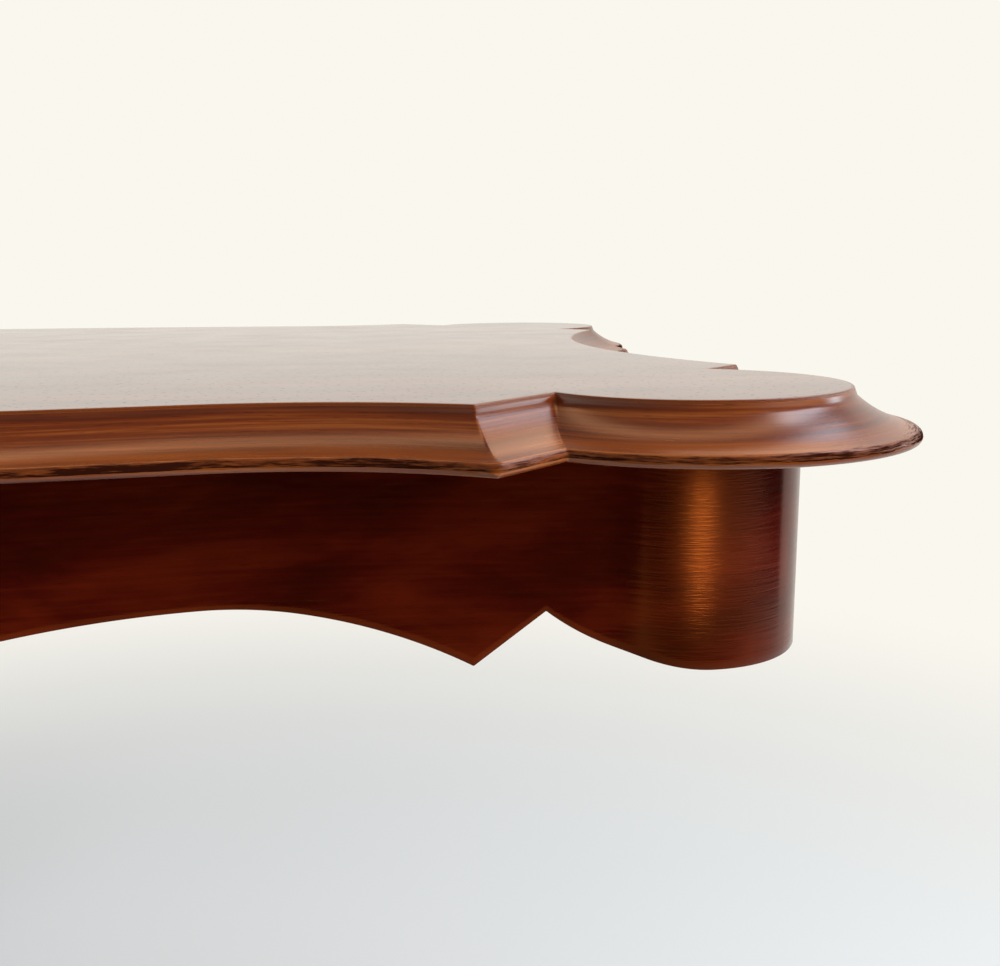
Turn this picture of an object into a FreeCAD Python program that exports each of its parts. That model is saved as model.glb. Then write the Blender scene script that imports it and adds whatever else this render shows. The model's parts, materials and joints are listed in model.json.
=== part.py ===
import FreeCAD
import Part
import math
import os

# Shaped-top occasional table: moulded top, veneered apron, turned column and four scroll legs.
# Millimetres. +Z is up, +X runs along the length, -Y is the front.
# The origin is on the floor, under the middle of the table.

Vector = FreeCAD.Vector
UP = Vector(0, 0, 1)
ORIGIN = Vector(0, 0, 0)

# Whole table
TABLE_HEIGHT = 716.0
OVERRUN = 6.0              # how far a cutting shape runs past the wood
JOINT_FIT = 0.1            # clearance of a peg, tongue or screw in its hole

# Plan of the top's upper edge: a rectangle with cut corners, hollow sides and ends, a lobe on each cut
HALF_LENGTH = 435.0
HALF_WIDTH = 277.5
CORNER_CUT = 126.0
SIDE_HOLLOW_DEPTH = 16.3
SIDE_HOLLOW_RADIUS = 150.0
END_HOLLOW_DEPTH = 36.5
LOBE_RADIUS = 58.0
LOBE_OUT = 19.0            # lobe's axis outside the line of the cut
LOBE_SHIFT = 8.3           # lobe's axis along the cut, from its middle towards the end

# Moulded edge of the top: a steep quirk, a cove, a round nose and a bevelled lower arris
TOP_THICKNESS = 18.0
LIP = 22.8
NOSE_RADIUS = 3.6
LIP_BEVEL = 0.9
COVE_TILT = 12.5           # degrees that the cove still falls where it meets the nose
QUIRK_OUT = 1.0
QUIRK_DROP = 3.4

# Boards of the top and the loose tongues in their joints
SIDE_BOARD_WIDTH = 182.5   # front or back board, from its joint to the top's upper edge
TONGUE_LENGTH = 640.0
TONGUE_WIDTH = 16.0
TONGUE_THICKNESS = 5.0

# Apron: veneer on shaped rails and solid corner blocks; depths are measured from the top's surface.
# It follows the top's bows and hollows, and runs straight from these to a round drum under each lobe.
APRON_INSET = 17.0
VENEER = 1.2
RAIL_THICKNESS = 22.0
APRON_DEPTH = 94.0
CROWN_DEPTH = 92.0
ARCH_DEPTH = 70.8
DROP_DEPTH = 93.7
CUSP_DEPTH = 74.6
ARCH_PLACE = 220.0         # the front arch's highest point, from the middle
ARCH_TURN_SHARE = 0.33     # where the arch turns into the crown, from the arch's top
DROP_FROM_LOBE = 80.6
CUSP_FROM_LOBE = 55.7
RUN_TURN = 4.0             # degrees that a straight run turns in, so that the drum stands out from it
VALLEY_RADIUS = 25.0       # hollow between a straight run and the drum, on the veneer's face
BLOCK_REACH = 97.0         # corner block's joints, from the lobe's axis
BLOCK_DEPTH = 50.0
DOWEL_RADIUS = 4.0
DOWEL_LENGTH = 36.0
DOWEL_DROP_SHARES = (0.3, 0.7)
GLUE_BLOCK_WIDTH = 22.0
GLUE_BLOCK_LENGTH = 60.0
GLUE_BLOCK_SCRIBE = 3.0    # waste left on a block to be cut to the rail's curve
FRONT_BLOCK_SHARES = (-0.6, 0.0, 0.6)
END_BLOCK_SHARES = (-0.5, 0.5)

# Bearers under the top, halved over each other, and wood screws
LONG_BEARER_SETBACK = 155.0  # end of the long bearer to the line of the top's end
CROSS_BEARER_SETBACK = 77.5
BEARER_WIDTH = 70.0
BEARER_THICKNESS = 26.0
BEARER_TIP = 11.0
BEARER_BEVEL = 42.0
BEARER_SCREW_SHARES = (0.3, 0.75)
SCREW_RADIUS = 2.5
SCREW_HEAD_RADIUS = 4.8
SCREW_HEAD_DROP = 3.0
SCREW_POINT = 4.0
BEARER_SCREW_BITE = 11.0

# Turned column
COLUMN_BOTTOM = 182.0
COLUMN_RADIUS = 46.0
COLUMN_DRUM_HEIGHT = 116.0
CAPITAL_RADIUS = 58.0
CAPITAL_HEIGHT = 15.0
TENON_RADIUS = 20.0
WEDGE_THICKNESS = 5.0
WEDGE_POINT = 2.5
WEDGE_HEIGHT = 19.0
# Turned outline: shares of the drum's radius, and of the height from the drum to the capital
RING_SHARES = ((1.0, 0.0), (1.12, 0.022), (1.0, 0.044))
COVE_SHARES = ((0.87, 0.044), (0.70, 0.064), (0.63, 0.111))
VASE_SHARES = ((0.63, 0.111), (0.78, 0.183), (0.95, 0.294), (0.84, 0.428), (0.64, 0.578), (0.54, 0.711),
               (0.55, 0.775))
COLLAR_SHARES = ((0.65, 0.775), (0.79, 0.797), (0.65, 0.819))
FLARE_SHARES = ((0.58, 0.819), (0.70, 0.928), (1.10, 1.0))

# Legs: an S-shaped sawn leg that ends in a round volute
LEG_REACH = 330.0          # column's axis to the volute's axis
LEG_TOP = 290.0
LEG_THICKNESS = 42.0
LEG_ROUND = 6.0
LEG_SEAT = 38.0            # flat under the leg, beside the column
LEG_ROOT_SHARE = 0.8
VOLUTE_RADIUS = 24.0
VOLUTE_THICKNESS = 50.0
VOLUTE_ROUND = 5.0
FOOT_FLAT = 2.0            # volute's underside dressed flat to the floor
# Leg's edges: shares of the way from the column to the volute, and of the leg's height
LEG_UPPER_SHARES = ((0.17, 0.972), (0.36, 0.842), (0.505, 0.610), (0.64, 0.383), (0.805, 0.222))
LEG_LOWER_SHARES = ((0.26, 0.585), (0.37, 0.442), (0.495, 0.242), (0.655, 0.090), (0.84, 0.014))
DOVETAIL_DEPTH = 14.0
DOVETAIL_WIDTH = 22.0
DOVETAIL_NECK = 15.0
DOVETAIL_HEIGHT_SHARE = 0.8

# Iron spider plate, and the drop finial below it
PLATE_THICKNESS = 3.0
PLATE_ARM_WIDTH = 24.0
PLATE_ARM_REACH = 80.0
PLATE_HUB_SHARE = 0.9
PLATE_SCREW_BITE = 26.0
PLATE_LEG_SCREW_SHARE = 0.86
PLATE_HUB_SCREW_SHARE = 0.68
FINIAL_RADIUS = 26.0
FINIAL_DROP = 66.0
FINIAL_RIM = 6.0
SPIGOT_RADIUS = 9.0
SPIGOT_LENGTH = 25.0
FINIAL_SHARES = ((0.52, 0.16), (0.80, 0.32), (0.90, 0.48), (0.66, 0.70), (0.34, 0.86))

# Levels and the plan's centres, worked out from the sizes above
TOP_UNDERSIDE = TABLE_HEIGHT - TOP_THICKNESS
BEARER_UNDERSIDE = TOP_UNDERSIDE - BEARER_THICKNESS
SQUARE_ROOT_2 = math.sqrt(2)
DIAGONAL = 45.0
OUTWARD = Vector(1, 1, 0).normalize()
CUT_DISTANCE = (HALF_LENGTH + HALF_WIDTH - CORNER_CUT) / SQUARE_ROOT_2
CUT_MIDDLE = (HALF_LENGTH - HALF_WIDTH) / SQUARE_ROOT_2
LOBE_X = (CUT_DISTANCE + LOBE_OUT + CUT_MIDDLE + LOBE_SHIFT) / SQUARE_ROOT_2
LOBE_Y = (CUT_DISTANCE + LOBE_OUT - CUT_MIDDLE - LOBE_SHIFT) / SQUARE_ROOT_2
HOLLOW_RISE = SIDE_HOLLOW_RADIUS - SIDE_HOLLOW_DEPTH
HOLLOW_X = HALF_LENGTH - CORNER_CUT - math.sqrt(SIDE_HOLLOW_RADIUS ** 2 - HOLLOW_RISE ** 2)
HOLLOW_Y = HALF_WIDTH + HOLLOW_RISE
END_HORN = HALF_WIDTH - CORNER_CUT
END_RADIUS = (END_HORN ** 2 + END_HOLLOW_DEPTH ** 2) / (2 * END_HOLLOW_DEPTH)
END_X = HALF_LENGTH - END_HOLLOW_DEPTH + END_RADIUS
# The bow's crown is level with the horns, and the bow runs smoothly into the hollow on each side
BOW_RADIUS = (HOLLOW_X ** 2 + HOLLOW_RISE ** 2 - SIDE_HOLLOW_RADIUS ** 2) / (2 * SIDE_HOLLOW_DEPTH)
BOW_Y = HALF_WIDTH - BOW_RADIUS
BOW_ANGLE = math.degrees(math.atan2(HOLLOW_X, HOLLOW_Y - BOW_Y))
JOINT_X = LOBE_X - BLOCK_REACH
JOINT_Y = LOBE_Y - BLOCK_REACH
BOARD_JOINT = HALF_WIDTH - SIDE_BOARD_WIDTH
LONG_BEARER = 2 * (HALF_LENGTH - LONG_BEARER_SETBACK)
CROSS_BEARER = 2 * (HALF_WIDTH - CROSS_BEARER_SETBACK)
CORE_INSET = APRON_INSET + VENEER
VALLEY_BASE = VALLEY_RADIUS - APRON_INSET
SLAB_X = HALF_LENGTH + 2 * LIP
SLAB_Y = HALF_WIDTH + 2 * LIP
BOW = Vector(0, BOW_Y, 0)
HOLLOW = Vector(HOLLOW_X, HOLLOW_Y, 0)
LOBE = Vector(LOBE_X, LOBE_Y, 0)
END = Vector(END_X, 0, 0)


def line(start, end):
    return Part.LineSegment(start, end).toShape()


def arc(start, middle, end):
    return Part.Arc(start, middle, end).toShape()


def spline(points):
    curve = Part.BSplineCurve()
    curve.interpolate(points)
    return curve.toShape()


def loop(points):
    """Face inside a closed ring of straight edges."""
    return Part.Face(Part.makePolygon(points + points[:1]))


def box_between(low, high):
    size = high - low
    return Part.makeBox(size.x, size.y, size.z, low)


def post(radius, bottom, top):
    return Part.makeCylinder(radius, top - bottom, Vector(0, 0, bottom))


def turned(edges):
    """Solid turned about the vertical axis from edges in the XZ plane that start and end on the axis."""
    start = edges[0].firstVertex(True).Point
    end = edges[-1].lastVertex(True).Point
    outline = Part.Face(Part.Wire(edges + [line(end, start)]))
    return outline.revolve(ORIGIN, UP, 360)


def mirrored(shape, across_x, across_y):
    copy = shape.copy()
    if across_x:
        copy = copy.mirror(ORIGIN, Vector(1, 0, 0))
    if across_y:
        copy = copy.mirror(ORIGIN, Vector(0, 1, 0))
    return copy


def four_ways(shape):
    """The shape and its mirror images in the other three corners."""
    return [mirrored(shape, across_x, across_y) for across_x in (False, True) for across_y in (False, True)]


# Sections of an edge are lists of stretches, from the top down. A stretch is the points of a line or of an
# arc, and a point is the distance outside the top's upper edge and the level.

def on_circle(centre, radius, degrees):
    """Point of a circle in a section, by its angle from upright towards the outside."""
    turn = math.radians(degrees)
    return centre[0] + radius * math.sin(turn), centre[1] + radius * math.cos(turn)


def moulded_section():
    quirk = (QUIRK_OUT, TABLE_HEIGHT - QUIRK_DROP)
    nose = (LIP - NOSE_RADIUS, TOP_UNDERSIDE + LIP_BEVEL)
    crest = on_circle(nose, NOSE_RADIUS, COVE_TILT)
    lip = on_circle(nose, NOSE_RADIUS, 90)
    tilt = math.radians(COVE_TILT)
    run, fall = crest[0] - quirk[0], quirk[1] - crest[1]
    cove_radius = (run ** 2 + fall ** 2) / (2 * (fall * math.cos(tilt) - run * math.sin(tilt)))
    cove = on_circle(crest, cove_radius, COVE_TILT)
    half_turn = math.degrees(math.asin(math.hypot(run, fall) / (2 * cove_radius)))
    return [[(0, TABLE_HEIGHT), quirk],
            [quirk, on_circle(cove, -cove_radius, COVE_TILT + half_turn), crest],
            [crest, on_circle(nose, NOSE_RADIUS, (90 + COVE_TILT) / 2), lip],
            [lip, (LIP - LIP_BEVEL, TOP_UNDERSIDE)]]


def section_edges(section, place):
    edges = []
    for stretch in section:
        spots = [place(out, level) for out, level in stretch]
        edges.append(line(*spots) if len(spots) == 2 else arc(*spots))
    return edges


def closed_section(section, place, far, past):
    """Face between the section and an upright line at far, running past it above and below."""
    (first_out, high), (last_out, low) = section[0][0], section[-1][-1]
    ring = [place(last_out, low), place(last_out, low - past), place(far, low - past),
            place(far, high + past), place(first_out, high + past), place(first_out, high)]
    if not past:
        ring = [ring[0], ring[2], ring[3], ring[5]]
    back = [line(start, end) for start, end in zip(ring, ring[1:])]
    return Part.Face(Part.Wire(section_edges(section, place) + back))


def turned_cutter(section, centre, radius, sign, start, sweep, reach):
    """Takes away what lies outside an edge on an arc; sign is 1 on a bow and -1 in a hollow."""
    face = closed_section(section, lambda out, level: Vector(radius + sign * out, 0, level), reach, OVERRUN)
    cutter = face.revolve(ORIGIN, UP, sweep)
    cutter.rotate(ORIGIN, UP, start)
    cutter.translate(centre)
    return cutter


def corner_cutter(section, reach):
    """Takes away what lies outside the cut corner, where both axes are positive."""
    half = SLAB_X + SLAB_Y

    def place(out, level):
        return Vector(CUT_DISTANCE + out, -half, level)

    face = closed_section(section, place, reach, OVERRUN)
    cutter = face.extrude(Vector(0, 2 * half, 0))
    cutter.rotate(ORIGIN, UP, DIAGONAL)
    return cutter


def lobe_body(section):
    face = closed_section(section, lambda out, level: Vector(LOBE_RADIUS + out, 0, level), -LOBE_RADIUS, 0)
    body = face.revolve(ORIGIN, UP, 360)
    body.rotate(ORIGIN, UP, DIAGONAL + 180)
    body.translate(LOBE)
    return body


def shaped_body(section):
    """A slab worked to the table's plan, with the section on its edge."""
    high, low = section[0][0][1], section[-1][-1][1]
    side_reach = 2 * LIP + SIDE_HOLLOW_DEPTH + OVERRUN
    end_reach = 2 * LIP + END_HOLLOW_DEPTH + OVERRUN
    bow = turned_cutter(section, BOW, BOW_RADIUS, 1,
                        90 - BOW_ANGLE, 2 * BOW_ANGLE, side_reach)
    hollow_sweep = 90 + BOW_ANGLE - DIAGONAL
    hollow = turned_cutter(section, HOLLOW, SIDE_HOLLOW_RADIUS, -1,
                           -90 - BOW_ANGLE, hollow_sweep, side_reach)
    end = turned_cutter(section, END, END_RADIUS, -1,
                        180 - DIAGONAL, 2 * DIAGONAL, end_reach)
    cutters = [bow, mirrored(bow, False, True), end, mirrored(end, True, False)] + four_ways(hollow)
    cutters += four_ways(corner_cutter(section, SLAB_X + SLAB_Y))
    body = box_between(Vector(-SLAB_X, -SLAB_Y, low), Vector(SLAB_X, SLAB_Y, high))
    for cutter in cutters:
        body = body.cut(cutter)
    return body.fuse(four_ways(lobe_body(section))).removeSplitter()


def screw(length):
    """Countersunk wood screw, head down at the origin, point upwards."""
    spots = [Vector(0, 0, 0), Vector(SCREW_HEAD_RADIUS, 0, 0), Vector(SCREW_RADIUS, 0, SCREW_HEAD_DROP),
             Vector(SCREW_RADIUS, 0, length - SCREW_POINT), Vector(0, 0, length)]
    return turned([line(start, end) for start, end in zip(spots, spots[1:])])


def screw_hole(length):
    spots = [Vector(0, 0, 0), Vector(SCREW_HEAD_RADIUS + JOINT_FIT, 0, 0),
             Vector(SCREW_RADIUS + JOINT_FIT, 0, SCREW_HEAD_DROP),
             Vector(SCREW_RADIUS + JOINT_FIT, 0, length + JOINT_FIT), Vector(0, 0, length + JOINT_FIT)]
    return turned([line(start, end) for start, end in zip(spots, spots[1:])])


def placed(shape, spots):
    """Copies of a shape at each spot."""
    return [shape.translated(spot) for spot in spots]


def bearer_screw_spots():
    along = [LONG_BEARER / 2 * share for share in BEARER_SCREW_SHARES]
    across = [CROSS_BEARER / 2 * share for share in BEARER_SCREW_SHARES]
    spots = [Vector(sign * x, 0, BEARER_UNDERSIDE) for x in along for sign in (1, -1)]
    return spots + [Vector(0, sign * y, BEARER_UNDERSIDE) for y in across for sign in (1, -1)]


def plate_screw_spots():
    level = COLUMN_BOTTOM - PLATE_THICKNESS
    in_leg = PLATE_ARM_REACH * PLATE_LEG_SCREW_SHARE
    in_hub = COLUMN_RADIUS * PLATE_HUB_SCREW_SHARE
    spots = []
    for quarter in range(4):
        turn = math.radians(90 * quarter)
        spots.append(Vector(in_hub * math.cos(turn), in_hub * math.sin(turn), level))
        turn += math.radians(DIAGONAL)
        spots.append(Vector(in_leg * math.cos(turn), in_leg * math.sin(turn), level))
    return spots


def tongue(clearance):
    """Loose tongue in the joint between the middle board and the back one."""
    half_width = TONGUE_WIDTH / 2 + clearance
    half_length = TONGUE_LENGTH / 2 + clearance
    half_height = TONGUE_THICKNESS / 2 + clearance
    level = TABLE_HEIGHT - TOP_THICKNESS / 2
    return box_between(Vector(-half_length, BOARD_JOINT - half_width, level - half_height),
                       Vector(half_length, BOARD_JOINT + half_width, level + half_height))


def top_parts():
    length = BEARER_THICKNESS + BEARER_SCREW_BITE
    top = shaped_body(moulded_section())
    for groove in (tongue(JOINT_FIT), mirrored(tongue(JOINT_FIT), False, True)):
        top = top.cut(groove)
    top = top.cut(placed(screw_hole(length), bearer_screw_spots()))
    boards = {"front": (-SLAB_Y, -BOARD_JOINT), "middle": (-BOARD_JOINT, BOARD_JOINT),
              "back": (BOARD_JOINT, SLAB_Y)}
    parts = {}
    for place, (near, far) in boards.items():
        keep = box_between(Vector(-SLAB_X, near, TOP_UNDERSIDE), Vector(SLAB_X, far, TABLE_HEIGHT))
        parts["top_board_" + place] = top.common(keep)
    parts["top_loose_tongues"] = Part.makeCompound([tongue(0), mirrored(tongue(0), False, True)])
    return parts


def run_facing(hollow, radius, sign):
    """Direction square to the straight run between a hollow and the drum, from the hollow into the table."""
    apart = LOBE - hollow
    turn = math.atan2(apart.y, apart.x) + sign * math.acos((radius + LOBE_RADIUS) / apart.Length)
    turn += sign * math.radians(RUN_TURN)
    return Vector(math.cos(turn), math.sin(turn), 0)


SIDE_FACING = run_facing(HOLLOW, SIDE_HOLLOW_RADIUS, -1)
END_FACING = run_facing(END, END_RADIUS, 1)
ALONG_SIDE = UP.cross(SIDE_FACING)
ALONG_END = END_FACING.cross(UP)


def valley_centre(hollow, radius, facing, along):
    """Centre of the small hollow between a straight run and the drum."""
    inward = radius - VALLEY_BASE - (LOBE - hollow).dot(facing)
    back = math.sqrt((LOBE_RADIUS + VALLEY_BASE) ** 2 - inward ** 2)
    return LOBE + facing * inward - along * back


SIDE_VALLEY = valley_centre(HOLLOW, SIDE_HOLLOW_RADIUS, SIDE_FACING, ALONG_SIDE)
END_VALLEY = valley_centre(END, END_RADIUS, END_FACING, ALONG_END)


def round_part(centre, start, end):
    """Shorter arc about a centre."""
    middle = start + end - centre * 2
    middle = centre + middle.normalize() * (start - centre).Length
    return arc(start, middle, end)


def apron_outline(inset):
    """Closed outline of the apron: bows and hollows, straight runs, and small hollows beside the drums."""
    drum = LOBE_RADIUS - inset
    bend = BOW + (HOLLOW - BOW).normalize() * (BOW_RADIUS - inset)
    side_start = HOLLOW + SIDE_FACING * (SIDE_HOLLOW_RADIUS + inset)
    end_stop = END + END_FACING * (END_RADIUS + inset)
    side_dip = SIDE_VALLEY + SIDE_FACING * (VALLEY_BASE + inset)
    end_dip = END_VALLEY + END_FACING * (VALLEY_BASE + inset)
    on_drum = [LOBE + (valley - LOBE).normalize() * drum for valley in (SIDE_VALLEY, END_VALLEY)]
    corner = [round_part(HOLLOW, bend, side_start), line(side_start, side_dip),
              round_part(SIDE_VALLEY, side_dip, on_drum[0]), arc(on_drum[0], LOBE + OUTWARD * drum, on_drum[1]),
              round_part(END_VALLEY, on_drum[1], end_dip), line(end_dip, end_stop)]
    side = round_part(BOW, bend, Vector(-bend.x, bend.y, 0))
    end = round_part(END, end_stop, Vector(end_stop.x, -end_stop.y, 0))
    edges = [side, mirrored(side, False, True), end, mirrored(end, True, False)]
    for edge in corner:
        edges += four_ways(edge)
    return Part.Wire(Part.sortEdges(edges)[0])


def apron_body(inset):
    """Block inside the apron's face at an inset."""
    low = TABLE_HEIGHT - APRON_DEPTH - OVERRUN
    return Part.Face(apron_outline(inset)).extrude(Vector(0, 0, TOP_UNDERSIDE - low)).translated(UP * low)


def smooth_arc(start, level_end):
    """Arc to a point where it runs level."""
    run, rise = start.x - level_end.x, start.z - level_end.z
    radius = (run ** 2 + rise ** 2) / (2 * abs(rise))
    half_turn = math.asin(run / radius) / 2
    middle = Vector(level_end.x + radius * math.sin(half_turn), 0,
                    level_end.z + math.copysign(radius, rise) * (1 - math.cos(half_turn)))
    return arc(start, middle, level_end)


def scallop_tail(arch_top, lobe, far):
    """Lower edge from the top of an arch out to the drop, up to the cusp, and along under the drum."""
    drop = Vector(lobe - DROP_FROM_LOBE, 0, TABLE_HEIGHT - DROP_DEPTH)
    cusp = Vector(lobe - CUSP_FROM_LOBE, 0, TABLE_HEIGHT - CUSP_DEPTH)
    drum = Vector(lobe, 0, TABLE_HEIGHT - APRON_DEPTH)
    out = Vector(far, 0, drum.z)
    return [smooth_arc(drop, arch_top), line(drop, cusp), smooth_arc(cusp, drum), line(drum, out)]


def scallop_cutter(edges, start, far, depth):
    """Takes away what lies under a lower edge, given from the middle out, and under its mirror image."""
    low = TABLE_HEIGHT - APRON_DEPTH - 2 * OVERRUN
    ring = [Vector(far, 0, TABLE_HEIGHT - APRON_DEPTH), Vector(far, 0, low), Vector(0, 0, low), start]
    back = [line(first, last) for first, last in zip(ring, ring[1:])]
    face = Part.Face(Part.Wire(edges + back))
    half = face.extrude(Vector(0, 2 * depth, 0)).translated(Vector(0, -depth, 0))
    return half.fuse(mirrored(half, True, False)).removeSplitter()


def front_scallop():
    crown = Vector(0, 0, TABLE_HEIGHT - CROWN_DEPTH)
    arch_top = Vector(ARCH_PLACE, 0, TABLE_HEIGHT - ARCH_DEPTH)
    turn = arch_top + (crown - arch_top) * ARCH_TURN_SHARE
    edges = [smooth_arc(turn, crown), smooth_arc(turn, arch_top)] + scallop_tail(arch_top, LOBE_X, SLAB_X)
    return scallop_cutter(edges, crown, SLAB_X, SLAB_Y)


def end_scallop():
    arch_top = Vector(0, 0, TABLE_HEIGHT - ARCH_DEPTH)
    cutter = scallop_cutter(scallop_tail(arch_top, LOBE_Y, SLAB_Y), arch_top, SLAB_Y, SLAB_X)
    cutter.rotate(ORIGIN, UP, 90)
    return cutter


def bow_line(inset, x):
    return BOW_Y + math.sqrt((BOW_RADIUS - inset) ** 2 - x ** 2)


def end_line(inset, y):
    return END_X - math.sqrt((END_RADIUS + inset) ** 2 - y ** 2)


def dowel_shapes(clearance):
    """Dowels across the joints between rails and corner blocks, two to a joint, along the straight runs."""
    radius, length = DOWEL_RADIUS + clearance, DOWEL_LENGTH + 2 * clearance
    middle = CORE_INSET + RAIL_THICKNESS / 2
    in_side = HOLLOW + SIDE_FACING * (SIDE_HOLLOW_RADIUS + middle)
    in_side += ALONG_SIDE * ((JOINT_X - in_side.x) / ALONG_SIDE.x)
    in_end = END + END_FACING * (END_RADIUS + middle)
    in_end += ALONG_END * ((JOINT_Y - in_end.y) / ALONG_END.y)
    pegs = []
    for share in DOWEL_DROP_SHARES:
        level = TOP_UNDERSIDE - share * (ARCH_DEPTH - TOP_THICKNESS)
        for joint, along in ((in_side, ALONG_SIDE), (in_end, ALONG_END)):
            start = joint + UP * level - along * (length / 2)
            pegs += four_ways(Part.makeCylinder(radius, length, start, along))
    return pegs


def apron_wedge(along, across):
    """Plan of one side's veneer: it meets its neighbours on the diagonal through each lobe's axis."""
    reach = LOBE_RADIUS + LIP
    outer = [Vector(sign * (along + reach), across + reach, 0) for sign in (1, -1)]
    inner = [Vector(sign * (along - reach), across - reach, 0) for sign in (-1, 1)]
    wedge = loop(outer + inner).extrude(Vector(0, 0, APRON_DEPTH + 2 * OVERRUN))
    return wedge.translated(Vector(0, 0, TABLE_HEIGHT - APRON_DEPTH - 2 * OVERRUN))


def veneer_parts(face, core):
    skin = face.cut(core)
    back = apron_wedge(LOBE_X, LOBE_Y)
    left = apron_wedge(LOBE_Y, LOBE_X)
    left.rotate(ORIGIN, UP, 90)
    return {"apron_veneer_back": skin.common(back),
            "apron_veneer_front": skin.common(mirrored(back, False, True)),
            "apron_veneer_left": skin.common(left),
            "apron_veneer_right": skin.common(mirrored(left, True, False))}


def apron_parts():
    scallops = [front_scallop(), end_scallop()]
    face, core = [apron_body(inset).cut(scallops) for inset in (APRON_INSET, CORE_INSET)]
    parts = veneer_parts(face, core)
    core = core.cut(dowel_shapes(JOINT_FIT))
    inside = apron_body(CORE_INSET + RAIL_THICKNESS)
    low = TABLE_HEIGHT - APRON_DEPTH - OVERRUN
    rails = core.cut(inside)
    back = box_between(Vector(-JOINT_X, 0, low), Vector(JOINT_X, SLAB_Y, TOP_UNDERSIDE))
    right = box_between(Vector(0, -JOINT_Y, low), Vector(SLAB_X, JOINT_Y, TOP_UNDERSIDE))
    parts["apron_rail_back"] = rails.common(back)
    parts["apron_rail_front"] = rails.common(mirrored(back, False, True))
    parts["apron_rail_right"] = rails.common(right)
    parts["apron_rail_left"] = rails.common(mirrored(right, True, False))
    corner = box_between(Vector(JOINT_X, JOINT_Y, low), Vector(SLAB_X, SLAB_Y, TOP_UNDERSIDE))
    waste = CUT_DISTANCE - CORE_INSET - BLOCK_DEPTH
    inner = box_between(Vector(-SLAB_X, -SLAB_X, low), Vector(waste, SLAB_X, TOP_UNDERSIDE))
    inner.rotate(ORIGIN, UP, DIAGONAL)
    corner = corner.cut(inner)
    for across_x, side in ((False, "right"), (True, "left")):
        for across_y, place in ((False, "back"), (True, "front")):
            block = core.common(mirrored(corner, across_x, across_y))
            parts["apron_corner_" + place + "_" + side] = block
    parts["apron_dowels"] = Part.makeCompound(dowel_shapes(0))
    parts["glue_blocks"] = glue_blocks(rails)
    return parts


def glue_blocks(rails):
    """Square blocks in the angle between the rails and the top, scribed to the rails."""
    inset = CORE_INSET + RAIL_THICKNESS - GLUE_BLOCK_SCRIBE
    half = GLUE_BLOCK_LENGTH / 2
    bottom = TOP_UNDERSIDE - GLUE_BLOCK_WIDTH
    width = GLUE_BLOCK_WIDTH + GLUE_BLOCK_SCRIBE
    blocks = []
    for share in FRONT_BLOCK_SHARES:
        x = JOINT_X * share
        edge = bow_line(inset, x)
        block = box_between(Vector(x - half, edge - width, bottom), Vector(x + half, edge, TOP_UNDERSIDE))
        blocks += [block, mirrored(block, False, True)]
    for share in END_BLOCK_SHARES:
        y = JOINT_Y * share
        edge = end_line(inset, y)
        block = box_between(Vector(edge - width, y - half, bottom), Vector(edge, y + half, TOP_UNDERSIDE))
        blocks += [block, mirrored(block, True, False)]
    return Part.makeCompound([block.cut(rails) for block in blocks])


def bearer(length):
    """Bearer along X with bevelled ends, bored for the column's tenon."""
    half = length / 2
    tip = TOP_UNDERSIDE - BEARER_TIP
    side = loop([Vector(half, 0, TOP_UNDERSIDE), Vector(half, 0, tip),
                 Vector(half - BEARER_BEVEL, 0, BEARER_UNDERSIDE),
                 Vector(BEARER_BEVEL - half, 0, BEARER_UNDERSIDE), Vector(-half, 0, tip),
                 Vector(-half, 0, TOP_UNDERSIDE)])
    bar = side.extrude(Vector(0, BEARER_WIDTH, 0)).translated(Vector(0, -BEARER_WIDTH / 2, 0))
    return bar.cut(post(TENON_RADIUS + JOINT_FIT, BEARER_UNDERSIDE, TOP_UNDERSIDE))


def bearer_parts():
    length = BEARER_THICKNESS + BEARER_SCREW_BITE
    half = BEARER_WIDTH / 2
    middle = (TOP_UNDERSIDE + BEARER_UNDERSIDE) / 2
    holes = placed(screw_hole(length), bearer_screw_spots())
    lower = box_between(Vector(-half, -half, BEARER_UNDERSIDE), Vector(half, half, middle))
    upper = box_between(Vector(-half, -half, middle), Vector(half, half, TOP_UNDERSIDE))
    cross = bearer(CROSS_BEARER)
    cross.rotate(ORIGIN, UP, 90)
    return {"bearer_long": bearer(LONG_BEARER).cut([lower] + holes),
            "bearer_cross": cross.cut([upper] + holes),
            "bearer_screws": Part.makeCompound(placed(screw(length), bearer_screw_spots()))}


def column_outline():
    """Edges of the turned column from its foot to the tenon's end."""
    drum_top = COLUMN_BOTTOM + COLUMN_DRUM_HEIGHT
    capital = BEARER_UNDERSIDE - CAPITAL_HEIGHT
    height = capital - drum_top

    def spot(shares):
        return Vector(COLUMN_RADIUS * shares[0], 0, drum_top + height * shares[1])

    ring, cove, vase, collar, flare = [[spot(shares) for shares in table] for table in (
        RING_SHARES, COVE_SHARES, VASE_SHARES, COLLAR_SHARES, FLARE_SHARES)]
    foot = [Vector(0, 0, COLUMN_BOTTOM), Vector(COLUMN_RADIUS, 0, COLUMN_BOTTOM), ring[0]]
    head = [flare[-1], Vector(CAPITAL_RADIUS, 0, capital), Vector(CAPITAL_RADIUS, 0, BEARER_UNDERSIDE),
            Vector(TENON_RADIUS, 0, BEARER_UNDERSIDE), Vector(TENON_RADIUS, 0, TOP_UNDERSIDE),
            Vector(0, 0, TOP_UNDERSIDE)]
    edges = [line(start, end) for start, end in zip(foot, foot[1:])]
    edges += [arc(*ring), line(ring[-1], cove[0]), arc(*cove), spline(vase), line(vase[-1], collar[0])]
    edges += [arc(*collar), line(collar[-1], flare[0]), arc(*flare)]
    return edges + [line(start, end) for start, end in zip(head, head[1:])]


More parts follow.
